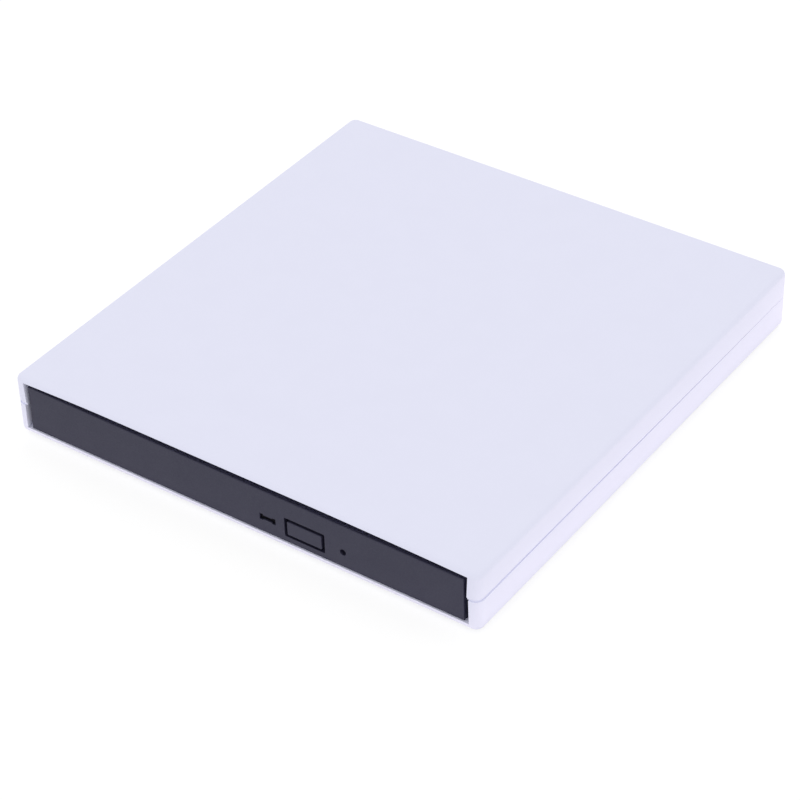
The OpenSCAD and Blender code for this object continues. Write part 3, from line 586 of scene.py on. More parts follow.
# Bosses of the case screws, with their threaded, clear and sunk bores
BOSS_X = 60.5
BOSS_Y = 63.5
BOSS_R = 2.6
BOSS_MEET = FLOOR + 4.0
THREAD_R = 1.05
THREAD_END = ROOF - 1.0
CLEAR_R = 1.2
CLEAR_END = 8.0
SUNK_R = 2.1
SUNK_END = 3.2

# Stands and pegs of the bridge board
STANDS = (-39.0, 17.0)
STAND_Y = DRIVE_REAR + 9.5
STAND_R = 2.0
STAND_TOP = FLOOR + 1.0
PEG_R = 0.8
PEG_TOP = FLOOR + 2.6

# Rear socket, and the window round it, which flares over its last stretch
SOCKET_LOW = (4.15, 61.2, 4.3)
SOCKET_HIGH = (11.85, 70.4, 8.2)
SOCKET_ROOM = 0.3
WINDOW_FRONT = BACK - 3.0
WINDOW_CORNER = 0.6
FLARE_FRONT = BACK - 0.4
FLARE_LENGTH = 0.6
FLARE = (1.1, 1, 1.19)

# Rubber feet in their pockets
FEET = [(x, y) for x in (-52.0, 52.0) for y in (-56.0, 56.0)]
FOOT_R = 5.0
FOOT_TOP = 1.5
FOOT_EDGE = 0.35
FOOT_RIM = 1.1
FOOT_SLOPE = 0.3
FOOT_RECESS = 0.25
POCKET_R = 5.05


def case_block(name, low, high, grow=0.0):
    """A block of the case's plan, grown by an amount, with its upright corners rounded."""
    shell = block(name, (-SIDE - grow, FRONT - grow, low), (SIDE + grow, BACK + grow, high))
    round_edges(shell, upright, CORNER + grow, steps=8)
    return shell


def hollow(name, grow, low, high):
    """The plan of the case's inside, grown by an amount."""
    room = block(name, (-SIDE + WALL - grow, FRONT + WALL - grow, low),
                 (SIDE - WALL + grow, BACK - WALL + grow, high))
    round_edges(room, upright, INNER_CORNER + grow, steps=6)
    return room


def seam(y):
    """Height of the shadow gap's upper edge, which comes down towards the back."""
    return PARTING + REVEAL_FRONT + (REVEAL_BACK - REVEAL_FRONT) * (y - FRONT) / (BACK - FRONT)


def reveal(name):
    """The ring that is cut out of the top shell's lower edge to make the shadow gap."""
    ring = case_block(name, PARTING - PAST, PARTING + REVEAL_FRONT, PAST)
    carve(ring, case_block("inside", PARTING - 2 * PAST, PARTING + 2 * PAST, -REVEAL_DEPTH))
    for vertex in ring.data.vertices:
        if vertex.co.z > PARTING:
            vertex.co.z = seam(vertex.co.y)
    return ring


def on_seam(edge):
    """True for an edge along the shadow gap's upper edge, on the case's outer skin."""
    for place in (v.co for v in edge.verts):
        off_x = max(0, abs(place.x) - SIDE + CORNER)
        off_y = max(0, abs(place.y) - BACK + CORNER)
        if abs(place.z - seam(place.y)) >= NEAR or abs(math.hypot(off_x, off_y) - CORNER) >= NEAR:
            return False
    return True


def mouth(name, low, high, half_low, half_high, sag=0.0):
    """The opening in the front: its sides lean, and its upper edge sags towards its ends."""
    gap = block(name, (-half_low, FRONT - PAST, low), (half_low, MOUTH_BACK, high))
    for vertex in gap.data.vertices:
        if abs(vertex.co.z - high) < NEAR:
            vertex.co.x = math.copysign(half_high, vertex.co.x)
    choose(gap, lambda e: level(e, high) and not along_y(e))
    bpy.ops.mesh.subdivide(number_cuts=SAG_STEPS)
    set_down()
    for vertex in gap.data.vertices:
        if abs(vertex.co.z - high) < NEAR:
            begin = SAG_RIGHT if vertex.co.x > 0 else SAG_LEFT
            reach = max(0, abs(vertex.co.x) - begin) / (half_high - begin)
            vertex.co.z -= sag * reach ** 2
    return gap


def make_top():
    """The top shell, with ribs that hold the drive and bosses for the screws from below."""
    shell = case_block("case_top", PARTING, TOP)
    round_edges(shell, lambda e: level(e, TOP), EDGE_ROUND, steps=8)
    below = PARTING - 2 * PAST
    carve(shell, hollow("room", 0, below, ROOF),
          mouth("mouth", below, MOUTH_TOP, *TOP_MOUTH, SAG),
          hollow("rebate", REBATE, below, REBATE_TOP), reveal("reveal"))
    ribs = []
    for side in (-1, 1):
        ribs.append(block("rib", (side * RIB_X - RIB_HALF, ROOF_RIB_FRONT, DRIVE_TOP),
                          (side * RIB_X + RIB_HALF, RIB_BACK, ROOF + SINK)))
        near, far = sorted((side * (DRIVE_SIDE + SIDE_RIB_ROOM), side * (SIDE - WALL + SINK)))
        for y in SIDE_RIBS:
            ribs.append(block("rib", (near, y, SIDE_RIB_LOW),
                              (far, y + SIDE_RIB_LENGTH, ROOF + SINK)))
        ribs.append(post("boss", BOSS_R, BOSS_MEET, ROOF + SINK, side * BOSS_X, BOSS_Y))
    weld(shell, *ribs)
    carve(shell, *[post("bore", THREAD_R, FLOOR, THREAD_END, side * BOSS_X, BOSS_Y, sides=24)
                   for side in (-1, 1)])
    round_edges(shell, on_seam, PARTING_EDGE, steps=2)
    hand_over(shell, white_abs, "white_abs", "case", "top_shell")


def socket_window():
    """The opening that the cable's plug goes through, with a flare at its outer edge."""
    window = block("window",
                   (SOCKET_LOW[0] - SOCKET_ROOM, WINDOW_FRONT, SOCKET_LOW[2] - SOCKET_ROOM),
                   (SOCKET_HIGH[0] + SOCKET_ROOM, FLARE_FRONT, SOCKET_HIGH[2] + SOCKET_ROOM))
    round_edges(window, along_y, WINDOW_CORNER)
    choose(window, lambda f: f.normal.y > FACING, "faces")
    draw_out(y=FLARE_LENGTH)
    bpy.ops.transform.resize(value=FLARE)
    set_down()
    return window


def make_bottom():
    """The bottom shell, with its tongue, ribs, stops, bosses and the bridge board's stands."""
    shell = case_block("case_bottom", UNDERSIDE, PARTING)
    round_edges(shell, lambda e: level(e, UNDERSIDE), EDGE_ROUND, steps=8)
    round_edges(shell, lambda e: level(e, PARTING), PARTING_EDGE, steps=2)
    weld(shell, hollow("tongue", TONGUE, TONGUE_ROOT, TONGUE_TOP))
    carve(shell, hollow("room", 0, FLOOR, PARTING + 8 * PAST),
          mouth("mouth", LIP, PARTING + 4 * PAST, *BOTTOM_MOUTH), socket_window())
    below = UNDERSIDE - PAST
    carve(shell, *[post("pocket", POCKET_R, below, FOOT_TOP, x, y) for x, y in FEET])
    root = FLOOR - SINK
    stands = []
    for side in (-1, 1):
        stands.append(block("rib", (side * RIB_X - RIB_HALF, FLOOR_RIB_FRONT, root),
                            (side * RIB_X + RIB_HALF, RIB_BACK, DRIVE)))
        stands.append(block("stop", (side * STOP_X - STOP_HALF, STOP_FRONT, root),
                            (side * STOP_X + STOP_HALF, STOP_BACK, STOP_TOP)))
        stands.append(post("boss", BOSS_R, root, BOSS_MEET, side * BOSS_X, BOSS_Y))
    for x in STANDS:
        stands.append(post("stand", STAND_R, root, STAND_TOP, x, STAND_Y))
        stands.append(post("peg", PEG_R, root, PEG_TOP, x, STAND_Y, sides=24))
    weld(shell, *stands)
    for side in (-1, 1):
        carve(shell, post("bore", CLEAR_R, below, CLEAR_END, side * BOSS_X, BOSS_Y, sides=24),
              post("sink", SUNK_R, below, SUNK_END, side * BOSS_X, BOSS_Y, sides=32))
    round_edges(shell, lambda e: on_front(e, FRONT) and level(e, LIP), LIP_EDGE, steps=3)
    hand_over(shell, white_abs, "white_abs", "case", "bottom_shell")


def make_feet():
    """The rubber feet, each with a shallow recess in its sole."""
    x, y = FEET[0]
    foot = post("foot_pads", FOOT_R, 0, FOOT_TOP, x, y, sides=64)
    round_edges(foot, lambda e: level(e, 0), FOOT_EDGE)
    choose(foot, lambda f: level(f, 0), "faces")
    bpy.ops.mesh.inset(thickness=FOOT_RIM, depth=0)
    bpy.ops.mesh.inset(thickness=FOOT_SLOPE, depth=-FOOT_RECESS)
    set_down()
    rest = [copy_at(foot, "foot", (fx - x, fy - y, 0)) for fx, fy in FEET[1:]]
    feet = gather("foot_pads", [foot, *rest])
    hand_over(feet, soft_rubber, "foot_rubber", "case", "rubber_feet")


make_top()
make_bottom()
make_feet()


# The drive's front

# Bezel: its right end lies a little further in than its left one, and its top edge falls
# towards it; spacers and tabs behind it hold it to the tray
BEZEL_RIGHT = 63.8
BEZEL_FALL = 0.5
BEZEL_EDGE = 0.25
BEZEL_RIM = 0.9
SPACERS = (-44.0, -8.0, 44.0)
SPACER_HALF = 3.6
SPACER_SPAN = (5.1, 12.3)
TAB_HALF = 3.0
TAB_SPAN = (6.2, 7.4)
TAB_FRONT = BEZEL_BACK - 0.5
TAB_BACK = TRAY_WALL + 0.3

# Eject button, the gap round it, its flange behind the bezel and its stem
BUTTON_X = 19.5
BUTTON_W = 9.9
BUTTON_H = 3.9
BUTTON_GAP = 0.8
BUTTON_FACE = FACE - 0.1
BUTTON_BACK = FACE_BACK + 0.3
BUTTON_CORNER = 0.25
BUTTON_EDGE = 0.18
OPENING_BACK = FACE_BACK + 0.5
OPENING_CORNER = 0.3
FLANGE_GROW = 0.5
FLANGE_DEPTH = (FACE_BACK + 0.05, FACE_BACK + 0.55)
FLANGE_SPAN = (3.75, CONTROL + BUTTON_H / 2 + BUTTON_GAP + 0.4)
STEM_HALF = 1.4
STEM_SPAN = (CONTROL - 0.7, CONTROL + 0.9)
STEM_BACK = TRAY_WALL + 2.0
STEM_EDGE = 0.3

# Light's window, a bar with a taller tick at each end, and the guide behind it
LIGHT_X = 8.8
LIGHT_W = 4.5
LIGHT_H = 1.05
TICK_W = 0.9
TICK_H = 1.6
LIGHT_ROOM = 0.05
GUIDE_FACE = FACE + 0.4
GUIDE_BACK = TRAY_WALL + 0.6
GUIDE_EDGE = 0.06

# Hole for the release pin
PIN_X = 30.45
PIN_R = 0.85

# Broken edge round these openings, and how far they lie above, below and along the bezel
CONTROL_EDGE = 0.08
CONTROL_REACH = 3.5
CONTROL_END = 33.0


def light_shape(name, front, back, grow):
    """The light's window: a bar with a taller tick at each end."""
    left = LIGHT_X - LIGHT_W / 2
    right = LIGHT_X + LIGHT_W / 2
    shape = block(name, (left - grow, front, CONTROL - LIGHT_H / 2 - grow),
                  (right + grow, back, CONTROL + LIGHT_H / 2 + grow))
    weld(shape, *[block("tick", (x - grow, front, CONTROL - TICK_H / 2 - grow),
                        (x + TICK_W + grow, back, CONTROL + TICK_H / 2 + grow))
                  for x in (left, right - TICK_W)])
    return shape


def on_control(edge):
    """True for an edge of the openings in the bezel's face."""
    middle = middle_of(edge)
    return (on_front(edge, FACE) and not flush(edge)
            and abs(middle.z - CONTROL) < CONTROL_REACH and 0 < middle.x < CONTROL_END)


def make_bezel():
    """The drive's front, hollow behind, with openings for the button, the light and the pin."""
    bezel = block("drive_bezel", (-DRIVE_SIDE, FACE, DRIVE), (BEZEL_RIGHT, BEZEL_BACK, DRIVE_TOP))
    for vertex in bezel.data.vertices:
        if vertex.co.z > CONTROL and vertex.co.x > 0:
            vertex.co.z -= BEZEL_FALL
    round_edges(bezel, lambda e: on_front(e, FACE), BEZEL_EDGE)
    inner = DRIVE_SIDE - BEZEL_RIM
    carve(bezel, block("back", (-inner, FACE_BACK, DRIVE + BEZEL_RIM),
                       (inner, BEZEL_BACK + PAST, DRIVE_TOP - BEZEL_RIM)))
    for x in SPACERS:
        weld(bezel, block("spacer", (x - SPACER_HALF, FACE_BACK - SINK, SPACER_SPAN[0]),
                          (x + SPACER_HALF, BEZEL_BACK, SPACER_SPAN[1])),
             block("tab", (x - TAB_HALF, TAB_FRONT, TAB_SPAN[0]),
                   (x + TAB_HALF, TAB_BACK, TAB_SPAN[1])))
    wide = BUTTON_W / 2 + BUTTON_GAP
    tall = BUTTON_H / 2 + BUTTON_GAP
    opening = block("opening", (BUTTON_X - wide, FACE - PAST, CONTROL - tall),
                    (BUTTON_X + wide, OPENING_BACK, CONTROL + tall))
    round_edges(opening, along_y, OPENING_CORNER, steps=3)
    carve(bezel, opening, light_shape("slit", FACE - PAST, OPENING_BACK, LIGHT_ROOM),
          bar("pinhole", PIN_R, FACE - PAST, FACE_BACK + PAST, PIN_X, CONTROL, sides=32))
    round_edges(bezel, on_control, CONTROL_EDGE, steps=2)
    hand_over(bezel, bezel_abs, "black_plastic", "tray", "bezel")


def make_button():
    """The eject button, with a flange that keeps it in and a stem that reaches the switch."""
    button = block("button_cap", (BUTTON_X - BUTTON_W / 2, BUTTON_FACE, CONTROL - BUTTON_H / 2),
                   (BUTTON_X + BUTTON_W / 2, BUTTON_BACK, CONTROL + BUTTON_H / 2))
    round_edges(button, along_y, BUTTON_CORNER, steps=3)
    round_edges(button, lambda e: on_front(e, BUTTON_FACE), BUTTON_EDGE, steps=3)
    wide = BUTTON_W / 2 + BUTTON_GAP + FLANGE_GROW
    flange = block("flange", (BUTTON_X - wide, FLANGE_DEPTH[0], FLANGE_SPAN[0]),
                   (BUTTON_X + wide, FLANGE_DEPTH[1], FLANGE_SPAN[1]))
    stem = block("stem", (BUTTON_X - STEM_HALF, FACE_BACK, STEM_SPAN[0]),
                 (BUTTON_X + STEM_HALF, STEM_BACK, STEM_SPAN[1]))
    round_edges(stem, lambda e: on_front(e, STEM_BACK), STEM_EDGE, steps=2)
    weld(button, flange, stem)
    hand_over(button, bezel_abs, "black_plastic", "button", "eject_button")


def make_light_guide():
    """The guide that brings the light from its board to the window."""
    guide = light_shape("light_guide", GUIDE_FACE, GUIDE_BACK, 0)
    soften(guide, GUIDE_EDGE)
    # The guide's near-black, barely reflecting finish is partly painted shade of the slit in front
    # of it
    hand_over(guide, smoked_shaded_pc, "smoked_plastic", "tray", "light_pipe")


make_bezel()
make_button()
make_light_guide()


# The flat cable and the ejecting spring, drawn in one form, though on the drive they change it as
# the tray moves

# Cable: its left and right edges, its middle and thickness, the bend that joins its lower run
# to its upper one, and the upper run's end, which the tray's socket holds
CABLE = (41.0, 55.0)
CABLE_T = 0.2
BEND_Y = -25.0
BEND_R = 1.4
BEND_STEPS = 16
CABLE_LOW = DRIVE + 1.15
CABLE_HIGH = CABLE_LOW + 2 * BEND_R
CABLE_END = 40.0
UPPER_STEPS = 60

# How the cable comes down from the main board's socket to the pan, and where it lies flat
DIP_BACK = 27.0
DIP_LENGTH = 9.0
DIP_TOP = DRIVE + 2.95
DIP_DROP = 1.8
DIP_START = 0.35
DIP_STEPS = 12
DIP_FRONT = 0.0

# Spring on the eject plunger
COIL_X = -53.0
COIL_Z = 7.6
COIL_FRONT = 29.22
COIL_BACK = 36.18
COIL_R = 1.05
COIL_WIRE = 0.2
COIL_TURNS = 8
COIL_STEPS = 28
WIRE_SIDES = 10


def cable_run(name, path):
    """A flat cable along points of y and z, drawn out from its first edge step by step."""
    set_down()
    bpy.ops.mesh.primitive_plane_add(size=1, location=(0, 0, 0))
    cable = settle(bpy.context.object, name)
    for vertex in cable.data.vertices:
        y, z = path[0 if vertex.co.y < 0 else 1]
        vertex.co = (CABLE[0 if vertex.co.x < 0 else 1], y, z)
    edge_y, edge_z = path[1]
    choose(cable, lambda e: level(e, edge_z) and on_front(e, edge_y))
    for (y0, z0), (y1, z1) in zip(path[1:], path[2:]):
        draw_out(y=y1 - y0, z=z1 - z0)
    pick_up(cable)
    tool = cable.modifiers.new("thickness", "SOLIDIFY")
    tool.thickness = CABLE_T
    tool.offset = 0
    bpy.ops.object.modifier_apply(modifier=tool.name)
    return cable


def make_cable():
    """The flat cable: its lower run and bend stay in the case, and its upper run is a loose piece
    attached to no body.
    """
    lower_path = []
    for i in range(DIP_STEPS + 1):
        t = i / DIP_STEPS
        s = max(0.0, (t - DIP_START) / (1 - DIP_START))
        lower_path.append((DIP_BACK - DIP_LENGTH * t,
                           DIP_TOP - DIP_DROP * (3 * s * s - 2 * s * s * s)))
    lower_path.append((DIP_FRONT, CABLE_LOW))
    for i in range(BEND_STEPS + 1):
        a = math.pi * i / BEND_STEPS
        lower_path.append((BEND_Y - BEND_R * math.sin(a),
                           CABLE_LOW + BEND_R * (1 - math.cos(a))))
    lower = cable_run("flat_cable_lower", lower_path)
    hand_over(lower, cable_film, "pale_nylon", "case", "ribbon_cable")
    upper_path = [(BEND_Y + (CABLE_END - BEND_Y) * i / UPPER_STEPS, CABLE_HIGH)
                  for i in range(UPPER_STEPS + 1)]
    upper = cable_run("flat_cable_upper", upper_path)
    to_metres(upper)
    dress(upper, cable_film)
    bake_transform(upper)


def make_spring():
    """The coil spring that pushes the tray out, wound from a round wire."""
    set_down()
    bpy.ops.mesh.primitive_circle_add(vertices=WIRE_SIDES, radius=COIL_WIRE,
                                      location=(COIL_R, 0, 0))
    spring = settle(bpy.context.object, "eject_coil")
    pick_up(spring)
    tool = spring.modifiers.new("winding", "SCREW")
    tool.axis = "Y"
    tool.angle = 2 * math.pi
    tool.steps = COIL_STEPS
    tool.render_steps = COIL_STEPS
    tool.iterations = COIL_TURNS
    tool.screw_offset = (COIL_BACK - COIL_FRONT - 2 * COIL_WIRE) / COIL_TURNS
    bpy.ops.object.modifier_apply(modifier=tool.name)
    choose(spring, lambda e: len(e.link_faces) == 1)
    bpy.ops.mesh.edge_face_add()
    bpy.ops.mesh.select_all(action="SELECT")
    bpy.ops.mesh.normals_make_consistent(inside=False)
    set_down()
    low = min(v.co.y for v in spring.data.vertices)
    spring.location = (COIL_X, COIL_FRONT - low, COIL_Z)
    settle(spring, "eject_coil")
    to_metres(spring, angle=60)
    dress(spring, rolled_steel)
    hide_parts("eject_spring")
    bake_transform(spring)


make_cable()
make_spring()


# The cable's socket at the back

# Shell: its low corners are cut and its high ones rounded
SOCKET_MIDDLE = 6.25
SOCKET_WALL = 0.4
SOCKET_DEPTH = 8.0
SOCKET_CUT = 1.1
SOCKET_CORNER = 0.9
SOCKET_EDGE = 0.1

# Carrier at the bottom of the shell, the blade that it holds, and the five contacts on that
CARRIER_LOW = (4.6, 62.4, 4.75)
CARRIER_HIGH = (11.4, 64.2, 7.75)
CARRIER_CUT = 1.0
BLADE_LOW = (5.6, 64.0, 5.85)
BLADE_HIGH = (10.4, 69.4, 6.65)
BLADE_TIP = 0.25
BLADE_EDGE = 0.06
CONTACT_X = 8.0
CONTACT_HALF = 0.2
CONTACT_PITCH = 0.8
CONTACT_FRONT = 64.1
CONTACT_TIP = 68.8
CONTACT_ROOT = BLADE_HIGH[2] - 0.1
CONTACT_TOP = BLADE_HIGH[2] + 0.12
CONTACT_EDGE = 0.18


def low_corner(edge):
    """True for an edge from front to back in the socket's lower half."""
    return along_y(edge) and middle_of(edge).z < SOCKET_MIDDLE


def high_corner(edge):
    """True for an edge from front to back in the socket's upper half."""
    return along_y(edge) and middle_of(edge).z > SOCKET_MIDDLE


def make_socket():
    """The socket's steel shell, open to the back."""
    shell = block("socket_shell", SOCKET_LOW, SOCKET_HIGH)
    round_edges(shell, low_corner, SOCKET_CUT, steps=1)
    round_edges(shell, high_corner, SOCKET_CORNER)
    choose(shell, lambda f: f.normal.y > FACING, "faces")
    bpy.ops.mesh.inset(thickness=SOCKET_WALL, depth=0)
    draw_out(y=-SOCKET_DEPTH)
    set_down()
    soften(shell, SOCKET_EDGE, angle=60)
    hand_over(shell, plated_steel, "bright_steel", "case", "usb_shell")


def make_contacts():
    """The carrier with its blade, and the contacts that lie along it."""
    carrier = block("socket_tongue", CARRIER_LOW, CARRIER_HIGH)
    round_edges(carrier, low_corner, CARRIER_CUT, steps=1)
    blade = block("blade", BLADE_LOW, BLADE_HIGH)
    round_edges(blade, lambda e: on_front(e, BLADE_HIGH[1]), BLADE_TIP, steps=3)
    weld(carrier, blade)
    soften(carrier, BLADE_EDGE)
    hand_over(carrier, chip_epoxy, "chip_black", "case", "usb_contacts")
    first = block("socket_pins", (CONTACT_X - CONTACT_HALF, CONTACT_FRONT, CONTACT_ROOT),
                  (CONTACT_X + CONTACT_HALF, CONTACT_TIP, CONTACT_TOP))
    round_edges(first, lambda e: on_front(e, CONTACT_TIP) and level(e, CONTACT_TOP),
                CONTACT_EDGE, steps=3)
    rest = [copy_at(first, "pin", (CONTACT_PITCH * i, 0, 0)) for i in (-2, -1, 1, 2)]
    contacts = gather("socket_pins", [first, *rest])
    hand_over(contacts, gold_flash, "bearing_brass", "case")


make_socket()
make_contacts()


# The turntable, its claws and the lens

# Turntable: radius, foot and head of its plate, then radius and height of each ring above it
TABLE = (13.5, 9.8, 10.45)
HUB_RINGS = [
    (13.35, 10.6), (10.3, 10.6), (10.0, 10.35), (8.1, 10.35), (7.8, 10.5), (7.4, 10.7),
    (7.4, 12.5), (7.3, 12.64), (6.8, 12.88), (6.2, 13.18), (5.7, 13.36), (5.3, 13.4),
    (3.9, 13.4), (3.75, 13.25), (3.6, 13.0), (2.2, 13.0), (2.1, 13.1), (2.0, 13.2),
    (1.0, 13.2), (0.9, 13.1), (0.8, 12.9),
]
HUB_EDGE = 0.08

# Claws: made along x at the origin, then turned about the spindle into their slots
CLAW_TURNS = [math.radians(225 + 120 * i) for i in range(3)]
CLAW_SLOT_LOW = (4.2, -1.6, 11.8)
CLAW_SLOT_HIGH = (8.4, 1.6, 15.0)
CLAW_LOW = (4.3, -1.5, 11.8)
CLAW_HIGH = (7.1, 1.5, 13.2)
CLAW_FRONT_ROUND = 0.7
CLAW_BACK_ROUND = 0.3
CLAW_EDGE = 0.1
NOSE_LOW = (6.4, -0.9, 12.4)
NOSE_HIGH = (7.48, 0.9, 12.8)
NOSE_ROUND = 0.18

# Lens: a flat rim with a broken edge, and a dome of a radius and a curve over its middle
RIM_HEIGHT = 0.9
RIM_EDGE = 0.08
DOME_R = 1.6
DOME_CURVE = 2.75
DOME_RISE = 0.5
DOME_STEPS = 8
DOME_TIP = 0.06


def draw_up(piece, x, y, rings):
    """Draws a round piece's top through rings of radius and height, as if turned on a lathe."""
    top = max(v.co.z for v in piece.data.vertices)
    wide = max(abs(v.co.x - x) for v in piece.data.vertices)
    choose(piece, lambda f: len(f.verts) > CAP and f.normal.z > FACING, "faces")
    for radius, height in rings:
        draw_out(z=height - top)
        scale = radius / wide
        bpy.ops.transform.resize(value=(scale, scale, 1), center_override=(x, y, height))
        wide = radius
        top = height
    set_down()


def make_hub():
    """The turntable with its hub, turned from one piece, with slots for the claws."""
    radius, low, high = TABLE
    hub = post("disc_hub", radius, low, high, 0, SPINDLE_Y, sides=96)
    draw_up(hub, 0, SPINDLE_Y, HUB_RINGS)
    slot = block("slot", CLAW_SLOT_LOW, CLAW_SLOT_HIGH)
    carve(hub, *[copy_at(slot, "slot", (0, SPINDLE_Y, 0), turn) for turn in CLAW_TURNS])
    bpy.data.objects.remove(slot)
    soften(hub, HUB_EDGE, angle=50)
    clean(hub)
    hand_over(hub, tray_abs, "black_plastic", "spindle", "turntable_hub")


def claw_end(x):
    """A test for the top edge of a claw at one end of it."""
    return lambda e: level(e, CLAW_HIGH[2]) and abs(middle_of(e).x - x) < NEAR


def make_claws():
    """The three claws that hold a disc, each with a nose that stands out of the hub."""
    claw = block("claw", CLAW_LOW, CLAW_HIGH)
    round_edges(claw, claw_end(CLAW_HIGH[0]), CLAW_FRONT_ROUND, steps=5)
    round_edges(claw, claw_end(CLAW_LOW[0]), CLAW_BACK_ROUND, steps=3)
    nose = block("nose", NOSE_LOW, NOSE_HIGH)
    round_edges(nose, lambda e: abs(middle_of(e).x - NOSE_HIGH[0]) < NEAR, NOSE_ROUND, steps=3)
    weld(claw, nose)
    soften(claw, CLAW_EDGE, angle=50)
    claws = [copy_at(claw, "claw", (0, SPINDLE_Y, 0), turn) for turn in CLAW_TURNS]
    bpy.data.objects.remove(claw)
    hand_over(gather("disc_claws", claws), acetal, "pale_nylon", "spindle", "hub_claws")


def make_objective():
    """The lens of the pickup, with its dome."""
    low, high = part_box("objective_lens")
    x, y = [(low[i] + high[i]) / 2 / MM for i in (0, 1)]
    rim = (high[0] - low[0]) / 2 / MM
    bottom = low[2] / MM
    edge = bottom + RIM_HEIGHT
    lens = post("objective", rim, bottom, edge - RIM_EDGE, x, y, sides=64)
    middle = edge + DOME_RISE - DOME_CURVE
    rings = [(rim - RIM_EDGE, edge)]
    for i in range(DOME_STEPS):
        a = math.asin(DOME_R / DOME_CURVE) * (1 - i / DOME_STEPS)
        rings.append((DOME_CURVE * math.sin(a), middle + DOME_CURVE * math.cos(a)))
    rings.append((DOME_TIP, middle + DOME_CURVE))
    draw_up(lens, x, y, rings)
    hand_over(lens, coated_glass, "lens_glass", "lens", "objective_lens")


make_hub()
make_claws()
make_objective()


# Pieces inside, finished from their solids: edges broken as moulding and stamping leave them

# Turn in degrees from which an edge of a solid is broken
SOLID_TURN = 30

# Tray: the height of its floor, and the seat of a small disc that is sunk into it
TRAY_EDGE = 0.2
DECK = 10.4
SEAT_R = 40.5
SEAT_DEPTH = 0.35
SEAT_EDGE = 0.15

# Broken edge of each piece in millimetres
BROKEN_EDGES = {
    "mechanism_cover": 0.1, "drive_cover": 0.12, "drive_pan": 0.12, "guide_left": 0.2,
    "guide_right": 0.2, "rail_left": 0.2, "rail_right": 0.2, "bottom_shield": 0.05,
    "traverse_plate": 0.12, "dampers": 0.25, "damper_screws": 0.12, "motor_base": 0.06,
    "spindle_bearing": 0.12, "spindle_stator": 0.2, "guide_rods": 0.12, "rod_clamps": 0.2,
    "screw_bracket": 0.08, "sled_motor": 0.2, "tray_ribbon_socket": 0.1, "latch_core": 0.1,
    "latch_coil": 0.25, "lever_clip": 0.06, "plunger_housing": 0.25, "front_board": 0.06,
    "eject_switch": 0.12, "activity_led": 0.1, "switch_plunger": 0.12, "spindle_rotor": 0.15,
    "turntable_pad": 0.08, "pickup_sled": 0.2, "screw_follower": 0.08, "lens_magnets": 0.1,
    "lens_holder": 0.15, "lock_lever": 0.2, "eject_plunger": 0.15, "lock_post": 0.15,
    "main_board": 0.06, "main_chips": 0.1, "drive_connector": 0.12, "bridge_board": 0.06,
    "bridge_socket": 0.15, "bridge_chips": 0.12, "case_screws": 0.1, "cover_screws": 0.1,
}


def make_lead_screw():
    """The lead screw, whose thread is left as sharp as it was cut."""
    screw = take_copy("lead_screw", "lead_screw_finished")
    hand_over(screw, rolled_steel, "bright_steel", "screw", "lead_screw")


def on_seat(edge):
    """True for an edge of the rim round the small disc's seat."""
    return level(edge, DECK) and all(
        abs(math.hypot(v.co.x, v.co.y - SPINDLE_Y) - SEAT_R) < NEAR for v in edge.verts)


def make_tray():
    """The tray, with the seat of a small disc sunk into its floor."""
    tray = take_copy("tray", "disc_tray")
    soften(tray, TRAY_EDGE, SOLID_TURN)
    carve(tray, post("seat", SEAT_R, DECK - SEAT_DEPTH, DECK + 5 * PAST, 0, SPINDLE_Y, sides=160))
    clean(tray)
    round_edges(tray, on_seat, SEAT_EDGE, steps=3)
    clean(tray)
    hand_over(tray, tray_abs, "black_plastic", "tray", "tray")


def make_inner():
    """Every other piece of the drive, with its edges broken."""
    for node, width in BROKEN_EDGES.items():
        piece = take_copy(node, node + "_finished")
        soften(piece, width, SOLID_TURN)
        slot = SLOT_OF[node]
        hand_over(piece, FINISHES[slot], slot, BODY_OF[node], node)


make_lead_screw()
make_tray()
make_inner()


# Stage, light and camera, in metres and watts

# Floor: its width, its paint, and the white that the camera and mirrors see in its place, of
# which the glowing share stays in the object's shadow
FLOOR_WIDTH = 12.0
PAPER = "#EDEDEF"
PAPER_GLOW = 0.8
PAPER_GREY = 0.25

# Even light of the room
ROOM_LIGHT = 0.97

# Lamps that lie on the floor round the case, as light comes off white paper:
# place of the middle, size along x and y, power
BOUNCE = {
    "bounce right": (0.079, 0.0, 0.018, 0.2, 0.0060),
    "bounce left": (-0.079, 0.0, 0.018, 0.2, 0.0060),
    "bounce back": (0.0, 0.082, 0.2, 0.018, 0.0060),
    "bounce front": (0.0, -0.0735, 0.136, 0.004, 0.0010),
}
BOUNCE_LIFT = 0.0005
BOUNCE_COLOUR = (1.0, 0.83, 0.79)

# Camera of the photograph: place, azimuth, elevation and roll of the eye, and the lens and its
# sensor in millimetres
EYE = (0.317465, -0.440896, 0.410725)
AZIMUTH = math.radians(36.052)
ELEVATION = math.radians(37.569)
ROLL = math.radians(-1.813)
FOCAL_LENGTH = 121.385
SENSOR = 36.0
NEAREST = 0.01
FURTHEST = 50.0


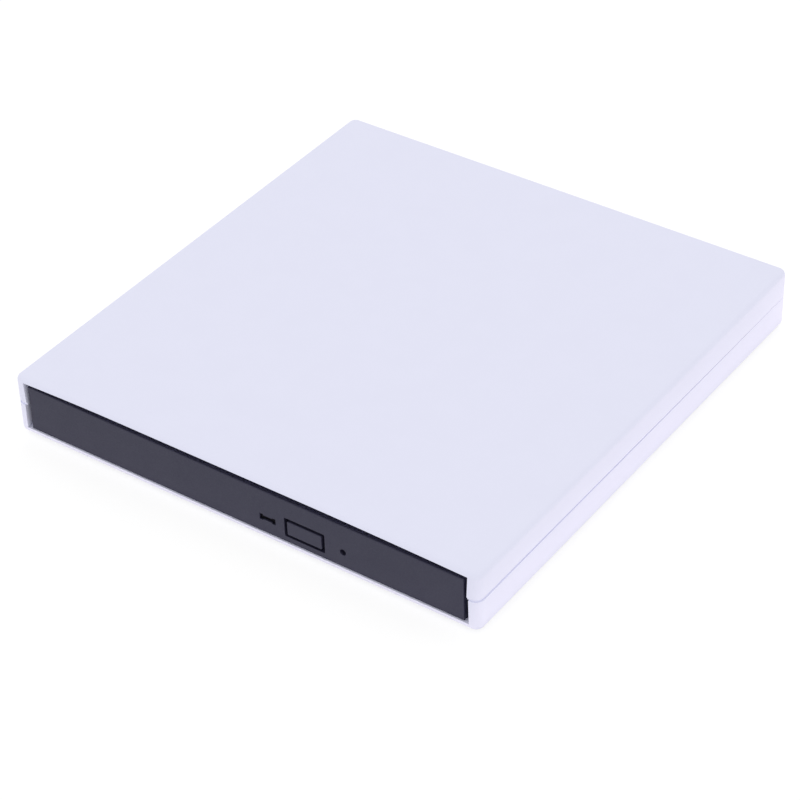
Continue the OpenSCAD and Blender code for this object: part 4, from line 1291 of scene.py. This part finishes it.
def make_floor():
    """A pale floor that the camera and mirrors see as white, apart from the shadow on it."""
    set_down()
    bpy.ops.mesh.primitive_plane_add(size=FLOOR_WIDTH, location=(0, 0, 0))
    floor = bpy.context.object
    floor.name = "floor"
    paint, tree, shader, _ = start("white paper floor")
    put(shader, Base_Color=tint(PAPER), Roughness=0.9, Specular_ior_Level=0.0)
    rays = add(tree, "LightPath")
    seen = rays.outputs["Is Camera Ray"]
    for kind in ("Is Glossy Ray", "Is Transmission Ray"):
        either = add(tree, "Math", {0: seen, 1: rays.outputs[kind]}, operation="MAXIMUM")
        seen = either.outputs["Value"]
    glow = add(tree, "Emission", {"Color": (1, 1, 1, 1), "Strength": PAPER_GLOW})
    dim = add(tree, "BsdfDiffuse", {"Color": (PAPER_GREY, PAPER_GREY, PAPER_GREY, 1)})
    white = add(tree, "AddShader", {0: glow.outputs["Emission"], 1: dim.outputs["BSDF"]})
    mix = add(tree, "MixShader", {0: seen, 1: shader.outputs["BSDF"], 2: white.outputs["Shader"]})
    tree.links.new(mix.outputs["Shader"], tree.nodes["Material Output"].inputs["Surface"])
    floor.data.materials.append(paint)


def make_lamps():
    """An even white room, with the paper's bounce close to the case."""
    world = bpy.data.worlds.new("white room")
    bpy.context.scene.world = world
    world.use_nodes = True
    tree = world.node_tree
    tree.nodes.clear()
    sky = add(tree, "Background", {"Color": (1, 1, 1, 1), "Strength": ROOM_LIGHT})
    add(tree, "OutputWorld", {"Surface": sky.outputs["Background"]})
    for name, (x, y, wide, deep, power) in BOUNCE.items():
        set_down()
        bpy.ops.object.light_add(type="AREA", location=(x, y, BOUNCE_LIFT),
                                 rotation=(math.pi, 0, 0))
        lamp = bpy.context.object
        lamp.name = name
        lamp.data.shape = "RECTANGLE"
        lamp.data.size = wide
        lamp.data.size_y = deep
        lamp.data.energy = power
        lamp.data.color = BOUNCE_COLOUR
        lamp.visible_camera = False
        lamp.visible_glossy = False


def make_camera():
    """The photograph's camera, turned by its azimuth, elevation and roll."""
    back = Vector((math.sin(AZIMUTH) * math.cos(ELEVATION),
                   -math.cos(AZIMUTH) * math.cos(ELEVATION), math.sin(ELEVATION)))
    right = (-back).cross(Vector((0, 0, 1))).normalized()
    up = right.cross(-back)
    side = math.cos(ROLL) * right + math.sin(ROLL) * up
    head = -math.sin(ROLL) * right + math.cos(ROLL) * up
    turn = Matrix((side, head, back)).transposed().to_4x4()
    set_down()
    bpy.ops.object.camera_add()
    camera = bpy.context.object
    camera.matrix_world = Matrix.Translation(EYE) @ turn
    camera.data.sensor_width = SENSOR
    camera.data.lens = FOCAL_LENGTH
    camera.data.clip_start = NEAREST
    camera.data.clip_end = FURTHEST
    bpy.context.scene.camera = camera


make_floor()
make_lamps()
make_camera()
bpy.context.scene.view_settings.view_transform = "Standard"
